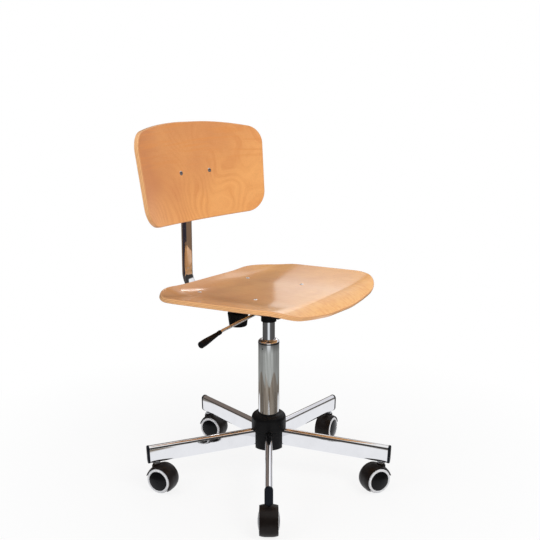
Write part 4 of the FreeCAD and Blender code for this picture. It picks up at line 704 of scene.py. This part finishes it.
# %% Lay out a rounded outline
def rounded_outline(corners, per_corner=16, per_side=18):
    """Points round an outline with corners (x, y, radius), and the outward direction at each.

    The arc at a corner touches both sides at radius / tan(half angle) from it, and its centre lies on the
    line that halves the angle, radius / sin(half angle) away. Along the arc the outward direction turns
    evenly from one side's to the next one's, and along a side it stays the same.
    """
    corner = np.array([row[:2] for row in corners])
    radius = np.array([row[2] for row in corners])[:, None]
    back = np.roll(corner, 1, axis=0) - corner
    onward = np.roll(corner, -1, axis=0) - corner
    back /= np.linalg.norm(back, axis=1)[:, None]
    onward /= np.linalg.norm(onward, axis=1)[:, None]
    half = np.arccos((back * onward).sum(axis=1))[:, None] / 2
    start = corner + back * radius / np.tan(half)
    end = corner + onward * radius / np.tan(half)
    middle = back + onward
    centre = corner + middle / np.linalg.norm(middle, axis=1)[:, None] * radius / np.sin(half)
    out_start = ((start - centre) / radius)[:, None]
    out_end = ((end - centre) / radius)[:, None]
    turn = math.pi - 2 * half[:, :, None]
    share = np.linspace(0, 1, per_corner)[None, :, None]
    out_arc = (np.sin((1 - share) * turn) * out_start + np.sin(share * turn) * out_end) / np.sin(turn)
    arc = centre[:, None] + radius[:, :, None] * out_arc
    share = np.linspace(0, 1, per_side + 2)[None, 1:-1, None]
    side = end[:, None] * (1 - share) + np.roll(start, -1, axis=0)[:, None] * share
    points = np.concatenate([arc, side], axis=1).reshape(-1, 2)
    outward = np.concatenate([out_arc, np.broadcast_to(out_end, side.shape)], axis=1).reshape(-1, 2)
    return points, outward


print("helper for outlines ready")


# %% Follow the sheet from its top to its underside
def sheet_profile(thickness, rounding, rings, round_steps, edge_steps):
    """Inset, depth and scale of each row, from the middle of the top to the middle of the underside.

    The inset pulls a row in from the outline, the scale then shrinks it towards the middle, and the depth
    is how far it lies under the top. At the rim inset and depth follow a quarter circle: r(1 - sin a) and
    r(1 - cos a).
    """
    quarter = np.linspace(0, math.pi / 2, round_steps + 1)[1:]
    level = np.linspace(rounding, thickness - rounding, edge_steps + 1)[1:]
    share = np.sin(np.linspace(0, 1, rings) * math.pi / 2) ** 0.9
    inset = np.concatenate([
        np.full(rings, rounding), rounding * (1 - np.sin(quarter)), np.zeros(edge_steps),
        rounding * (1 - np.cos(quarter)), np.full(rings - 1, rounding),
    ])
    depth = np.concatenate([
        np.zeros(rings), rounding * (1 - np.cos(quarter)), level,
        thickness - rounding * (1 - np.sin(quarter)), np.full(rings - 1, thickness),
    ])
    scale = np.concatenate([share, np.ones(2 * round_steps + edge_steps), share[-2::-1]])
    return inset, depth, scale


print("helper for sheets ready")


# %% Bend an outline into a shell
def bent_shell(outline, height, thickness, rounding, rings=42, round_steps=7, edge_steps=15):
    """Rows of a bent sheet, and the depth and the edge that its mesh carries.

    A row's points lie on height(x, y) and are then moved down the surface's own normal by the row's
    depth. The normal is (-dh/dx, -dh/dy, 1) made one long.
    """
    points, outward = outline
    inset, depth, scale = sheet_profile(thickness, rounding, rings, round_steps, edge_steps)
    plan = (points[None] - inset[:, None, None] * outward[None]) * scale[:, None, None]
    x, y = plan[..., 0], plan[..., 1]
    step = 1e-5
    slope_x = (height(x + step, y) - height(x - step, y)) / (2 * step)
    slope_y = (height(x, y + step) - height(x, y - step)) / (2 * step)
    normal = np.stack([-slope_x, -slope_y, np.ones_like(x)], axis=-1)
    normal /= np.linalg.norm(normal, axis=-1, keepdims=True)
    surface = np.stack([x, y, height(x, y)], axis=-1) - depth[:, None, None] * normal
    on_edge = (inset < 0.88 * rounding).astype(float)
    carried_values = {
        "ply_depth": per_row(depth / thickness, len(points)),
        "edge_share": per_row(on_edge, len(points)),
    }
    return surface, carried_values


def tip(points, angle, pivot):
    """Turns the points about the x axis by the angle, rear down, and then moves the origin to the pivot."""
    x, y, z = points[..., 0], points[..., 1], points[..., 2]
    cosine, sine = math.cos(angle), math.sin(angle)
    return np.stack([x, pivot[1] + y * cosine + z * sine, pivot[2] - y * sine + z * cosine], axis=-1)


print("helpers for shells ready")

# %% [markdown]
# ### The seat
# The seat is flat in the middle. Its sides rise gently, its rear curls up to meet the sitter, and its
# front rolls down in a tight bend so that it doesn't press under the knees. It could be pulled from a
# grid by hand, but it has to meet the CAD screws and carrier. So its sides rise as a parabola, and both
# ends follow circles that start level.

# %% Work out the seat's height
seat_tilt = math.radians(2.6)
seat_height = 0.440
seat_thickness = 0.0105
seat_rounding = 0.0022
flat_half_width = 0.078
side_radius = 0.613
front_bend_start = -0.1389
front_bend_radius = 0.0763
rear_bend_start = 0.105
rear_bend_radius = 0.161


def arc_drop(run, radius):
    """How far a circle that starts level has dropped after a run: r - sqrt(r^2 - run^2)."""
    return radius - np.sqrt(np.clip(radius ** 2 - run ** 2, 1e-9, None))


def seat_level(x, y):
    """Height of the seat's top: a parabola at the sides, a circle down in front and one up behind."""
    rise = np.clip(np.abs(x) - flat_half_width, 0, None) ** 2 / (2 * side_radius)
    ahead = np.clip(front_bend_start - y, 0, None)
    behind = np.clip(y - rear_bend_start, 0, None)
    return rise - arc_drop(ahead, front_bend_radius + rise) + arc_drop(behind, rear_bend_radius - rise)


def tilt_seat(points):
    """Tips the seat about the x axis by its tilt, rear down, and lifts it to its height."""
    return tip(points, seat_tilt, (0.0, 0.0, seat_height))


print("seat", seat_height, "m high, tilted", round(math.degrees(seat_tilt), 1), "degrees")

# %% Make the seat
# Painted light: the bent front of the seat, ahead of this line and fading in over this distance, is marked for a
# brighter golden colour.
painted_light_lip_start = -0.115
painted_light_lip_fade = 0.045
seat_outline = rounded_outline([
    (0.2292, 0.1758, 0.1027), (-0.2292, 0.1758, 0.1027), (-0.218, -0.1762, 0.093),
    (-0.047, -0.1931, 0.324), (0.047, -0.1931, 0.324), (0.218, -0.1762, 0.093),
])
seat_rows, seat_values = bent_shell(seat_outline, seat_level, seat_thickness, seat_rounding)
seat_values["painted_light_lip_share"] = np.clip((painted_light_lip_start - seat_rows[..., 1]) / painted_light_lip_fade, 0, 1)
seat_rows = tilt_seat(seat_rows)
seat = grid_piece("seat_veneer", seat_rows, seat_wood, "seat", attributes=seat_values)
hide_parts("seat_shell")

# %% [markdown]
# ### The back
# The back is bent one way only, round the sitter: its face is part of an upright cylinder. It could be
# cut from a cylinder with a boolean, but that leaves long thin faces at the cut. The same shell function
# makes it when its height is that cylinder, after which the sheet is stood up and leant back on its
# hinge.

# %% Make the back
back_lean = math.radians(8.4)
back_hinge = (0.0, 0.242, 0.690)
back_thickness = 0.010
back_rounding = 0.0020
back_radius = 0.554
face_before_hinge = 0.030


def back_level(x, y):
    """Distance of the back's face before the hinge, which grows towards the sides of the cylinder."""
    return face_before_hinge + back_radius - np.sqrt(back_radius ** 2 - x ** 2)


def lean_back(points):
    """Stands the sheet up, so that its face looks forward, and leans it about the hinge pin."""
    upright = np.stack([points[..., 0], -points[..., 2], points[..., 1]], axis=-1)
    return tip(upright, back_lean, back_hinge)


back_outline = rounded_outline([
    (0.2196, 0.0899, 0.044), (0.0961, 0.1161, 0.720), (-0.0961, 0.1161, 0.720),
    (-0.2196, 0.0899, 0.044), (-0.2041, -0.1115, 0.051), (0.2041, -0.1115, 0.051),
])
back_rows, back_values = bent_shell(back_outline, back_level, back_thickness, back_rounding)
back_rows = lean_back(back_rows)
back = grid_piece("back_veneer", back_rows, back_wood, "back", attributes=back_values)
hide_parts("back_shell")

# %% [markdown]
# ## Screws and bolts
# The seat is held by four screws with a cross recess, the back by two bolts with a six-sided socket and a
# nut each. A recess could be cut with a boolean. Here each fastener is one profile turned about its axis,
# and where it enters the recess its radius follows a hexagon or a cross, which are just other functions
# of the angle. The steel is dark with brighter rims, by a value that the mesh carries.

# %% Make the fastener steel
steel, tree, shader = start_material("fastener_steel", Metallic=1.0)
worn = noise(tree, object_place(tree), 700.0)
steel_colour = blend_colours(tree, carried(tree, "rim_share"), (0.30, 0.31, 0.34), (0.86, 0.85, 0.83))
join_surface(tree, shader, steel_colour, remap(tree, worn, 0.3, 0.7, 0.24, 0.40))
print("fasteners:", steel.name)


# %% Turn a profile whose recess has corners
def fastener_rows(profile, recess, columns=96):
    """Rows in metres, round the z axis, from (radius, height, recess share, rim share) in millimetres.

    A hexagon with flats at distance 1 has the radius 1 / cos(a - nearest multiple of 60 degrees). A cross
    with arms of half width w and length 1 has the smaller of 1 / max(|cos a|, |sin a|) and w / min(|cos
    a|, |sin a|). The recess share blends from the circle, 1 all round, to that shape.
    """
    profile = np.array(profile, float)
    angle = (np.arange(columns) + 0.5) * 2 * math.pi / columns
    if recess == "hexagon":
        shape = 1 / np.cos((angle + math.pi / 6) % (math.pi / 3) - math.pi / 6)
    else:
        wide = np.maximum(np.abs(np.cos(angle)), np.abs(np.sin(angle)))
        narrow = np.minimum(np.abs(np.cos(angle)), np.abs(np.sin(angle)))
        shape = np.minimum(1 / wide, 0.26 / narrow)
    radius = profile[:, :1] * (1 + profile[:, 2:3] * (shape[None] - 1))
    height = np.broadcast_to(profile[:, 1:2], radius.shape)
    rows = np.stack([radius * np.cos(angle), radius * np.sin(angle), height], axis=-1) / 1000
    return rows, {"rim_share": per_row(profile[:, 3], columns)}


print("helper for fasteners ready")

# %% Place the seat screws
screw_profile = [
    (0.0, 0.2, 0, 0), (1.6, 0.2, 1, 0), (2.4, 1.1, 1, 0), (2.5, 1.25, 0.9, 1), (3.4, 1.05, 0, 1),
    (4.2, 0.7, 0, 1), (4.7, 0.35, 0, 1), (4.95, 0.0, 0, 1), (4.95, -3.0, 0, 0), (2.9, -3.0, 0, 0),
    (2.9, -22.0, 0, 0), (0.0, -22.0, 0, 0),
]
screw_places = [(0.089, -0.029), (-0.089, -0.029), (0.089, 0.128), (-0.089, 0.128)]
for number, (x, y) in enumerate(screw_places, start=1):
    rows, values = fastener_rows(screw_profile, "cross")
    rows = tilt_seat(rows + np.array([x, y, float(seat_level(np.array(x), np.array(y)))]))
    screw = grid_piece("seat_screw_%d" % number, rows, steel, "seat", attributes=values)
    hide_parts("seat_screws")

# %% Place the back bolts and their nuts
bolt_profile = [
    (0.0, 1.15, 0, 0), (1.9, 1.15, 1, 0), (2.1, 2.1, 1, 0), (2.3, 2.35, 0.9, 0), (3.6, 2.3, 0, 0),
    (4.6, 1.9, 0, 0.3), (5.2, 1.35, 0, 1), (5.55, 0.7, 0, 1), (5.55, 0.0, 0, 0), (2.95, 0.0, 0, 0),
    (2.95, -17.5, 0, 0), (0.0, -17.5, 0, 0),
]
nut_profile = [
    (0.0, 0.0, 0, 0), (4.9, 0.0, 0, 0), (5.15, -0.3, 1, 0), (5.15, -4.2, 1, 0), (4.9, -4.5, 0, 0),
    (0.0, -4.5, 0, 0),
]
nut_level = 0.01838
sunk = 0.001
for side, x in (("left", 0.050), ("right", -0.050)):
    bolt_level = float(back_level(np.array(x), 0.0)) - sunk
    for kind, profile, level in (("bolt", bolt_profile, bolt_level), ("nut", nut_profile, nut_level)):
        rows, values = fastener_rows(profile, "hexagon")
        rows = lean_back(rows + np.array([x, 0.0, level]))
        piece = grid_piece("back_%s_%s" % (kind, side), rows, steel, "back", attributes=values)
        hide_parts("back_fasteners")

# %% [markdown]
# ## Chromed tubes
# The arms of the base and the back tube are plain tubes. A bevelled curve makes a tube with one setting,
# but its ends and bends are faceted, and a mirror shows every facet. So each is a finer surface: a
# flat-oval section carried along a path of straight runs and bends. Two rows close together keep each end
# crisp.

# %% Define the tube helpers
def flat_oval(width, depth, columns=72):
    """Points round a flat oval: half circles of radius width / 2 at both ends, depth over all."""
    angle = np.arange(columns) * 2 * math.pi / columns
    radius = width / 2
    rise = radius * np.sin(angle) + (depth / 2 - radius) * np.sign(np.sin(angle))
    return np.stack([radius * np.cos(angle), rise], axis=1)


def tube_rows(path, across, section, end_step=0.0003):
    """The section carried along a path that lies in one plane, with a pole at each end.

    Each row is path point + first coordinate x across + second coordinate x up, where up is square to
    both the path's direction and across.
    """
    path = np.array(path, float)
    first, last = path[1] - path[0], path[-1] - path[-2]
    start = path[0] + first / np.linalg.norm(first) * end_step
    end = path[-1] - last / np.linalg.norm(last) * end_step
    path = np.concatenate([path[:1], path[:1], [start], path[1:-1], [end], path[-1:], path[-1:]])
    ahead = np.gradient(path, axis=0)
    ahead[:2], ahead[-2:] = first, last
    ahead /= np.linalg.norm(ahead, axis=1)[:, None]
    up = np.cross(ahead, across)
    size = np.ones(len(path))
    size[[0, -1]] = 0.0
    spread = section[None, :, :1] * across + section[None, :, 1:] * up[:, None]
    return path[:, None] + size[:, None, None] * spread


print("helpers for tubes ready")

# %% Make the five arms
arm_count = 5
arm_section = flat_oval(0.0165, 0.041)
arm_slope = math.radians(2.4)
arm_reach = 0.280
arm_end_level = 0.08548
arm_distance = np.array([0.027, 0.10, 0.19, arm_reach])
arm_level = arm_end_level + (arm_reach - arm_distance) * math.tan(arm_slope)
for number in range(arm_count):
    angle = number * 2 * math.pi / arm_count
    outward = np.array([math.cos(angle), math.sin(angle), 0.0])
    across = np.array([-math.sin(angle), math.cos(angle), 0.0])
    path = arm_distance[:, None] * outward + arm_level[:, None] * np.array([0.0, 0.0, 1.0])
    rows = tube_rows(path, across, arm_section)
    arm = grid_piece("arm_tube_%d" % (number + 1), rows, chrome, "base")
    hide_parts("base_arms")

# %% Make the back tube
stem_level = 0.4045
stem_reach = 0.242
bend_radius = 0.050
bend_centre = (0.192, 0.4545)
bend_steps = 25
turn = np.linspace(0, math.pi / 2, bend_steps)
bend_y = bend_centre[0] + bend_radius * np.sin(turn)
bend_z = bend_centre[1] - bend_radius * np.cos(turn)
stem_path = np.concatenate([
    [(0.0, 0.052, stem_level), (0.0, 0.12, stem_level)],
    np.stack([np.zeros(bend_steps), bend_y, bend_z], axis=1),
    [(0.0, stem_reach, 0.58), (0.0, stem_reach, 0.706)],
])
stem_section = flat_oval(0.015, 0.030)[:, ::-1]
stem_rows = tube_rows(stem_path, np.array([1.0, 0.0, 0.0]), stem_section)
stem = grid_piece("stem_tube", stem_rows, chrome, "stem")
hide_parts("back_stem")

# %% [markdown]
# ## Tyres
# A tyre is a ring: a small closed section carried round the axle. The section starts at the rim, runs out
# over the black tread, round the soft grey shoulder and back to the rim. The ribs could be an array of
# little bars, but those would only lie on the tread. Here they are a wave in the radius, which only the
# tread's part of the section feels, so that they are one with it.

# %% Lay out the tyre's section
tyre_section = np.array([
    (0.0224, 0.0080), (0.0250, 0.0080), (0.0278, 0.0080), (0.0285, 0.0083), (0.0290, 0.0090),
    (0.0290, 0.0105), (0.0290, 0.0120), (0.0290, 0.0135), (0.0290, 0.0148), (0.0288, 0.0160),
    (0.0285, 0.0170), (0.0280, 0.0179), (0.0277, 0.0183), (0.0272, 0.0188), (0.0265, 0.0194),
    (0.0257, 0.0198), (0.0248, 0.0200), (0.0239, 0.0200), (0.0230, 0.0199), (0.0225, 0.0196),
    (0.0224, 0.0190), (0.0224, 0.0140),
])
ribbed_rows = np.array([0, 0, 0, 0.2, 0.8, 1, 1, 1, 1, 0.9, 0.5, 0] + [0] * 10, float)
pale_rows = np.array([0] * 11 + [0.4] + [1] * 8 + [0.4, 0], float)
print("tyre section:", len(tyre_section), "points")


# %% Carry the section round the axle
def tyre_rows(section, ribbed, centre, axle, rib_count=54, rib_depth=0.0007, columns=432):
    """The section (radius, distance along the axle) carried round the axle.

    A point is centre + distance x axle + radius x (cos a across + sin a up). Over the tread the radius is
    less by rib_depth times a flattened cosine of rib_count times the angle.
    """
    axle = np.array(axle)
    up = np.array([0.0, 0.0, 1.0])
    across = np.cross(up, axle)
    angle = np.arange(columns) * 2 * math.pi / columns
    wave = np.clip(0.5 - 1.4 * np.cos(rib_count * angle), 0, 1)
    radius = section[:, :1] - rib_depth * ribbed[:, None] * wave[None]
    spoke = np.cos(angle)[:, None] * across + np.sin(angle)[:, None] * up
    return np.array(centre) + section[:, 1, None, None] * axle + radius[..., None] * spoke


for number in range(1, arm_count + 1):
    for side, sign in (("left", 1.0), ("right", -1.0)):
        joint = joints["castor_%d_roll_%s" % (number, side)]
        axle = sign * np.array(joint["axis"], float)
        rows = tyre_rows(tyre_section, ribbed_rows, joint["pos_m"], axle)
        pale = {"pale_share": per_row(pale_rows, rows.shape[1])}
        piece = grid_piece(
            "castor_%d_tread_%s" % (number, side), rows, rubber, joint["child"],
            poles=(False, False), looped=True, attributes=pale,
        )
        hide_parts("castor_%d_tyre_%s" % (number, side))

# %% [markdown]
# ## Finishes on the CAD pieces
# The remaining pieces have their true shape in the CAD model already. They could be remade, but nothing
# would be gained, so each keeps its mesh and gets the finish of its material slot. The end caps and the
# castor hoods are chosen by name, because their black carries a painted sheen, blue on the caps and brown
# on the hoods.

# %% Give every CAD node its finish
finishes = {
    "chrome": chrome, "zinc_steel": zinc, "black_steel": powder, "black_plastic": nylon,
    "gloss_black": polished, "plywood": seat_wood, "grey_tread": rubber,
}
slot_of = {part["node"]: part["material_slot"] for part in record["subparts"]}
for name, item in frame["nodes"].items():
    item.data.materials.clear()
    chosen = finishes[slot_of[name]]
    if name == "arm_end_caps":
        chosen = blue_sheen_nylon
    elif name.endswith("_hood"):
        chosen = brownish
    item.data.materials.append(chosen)
print("nodes finished:", len(frame["nodes"]))
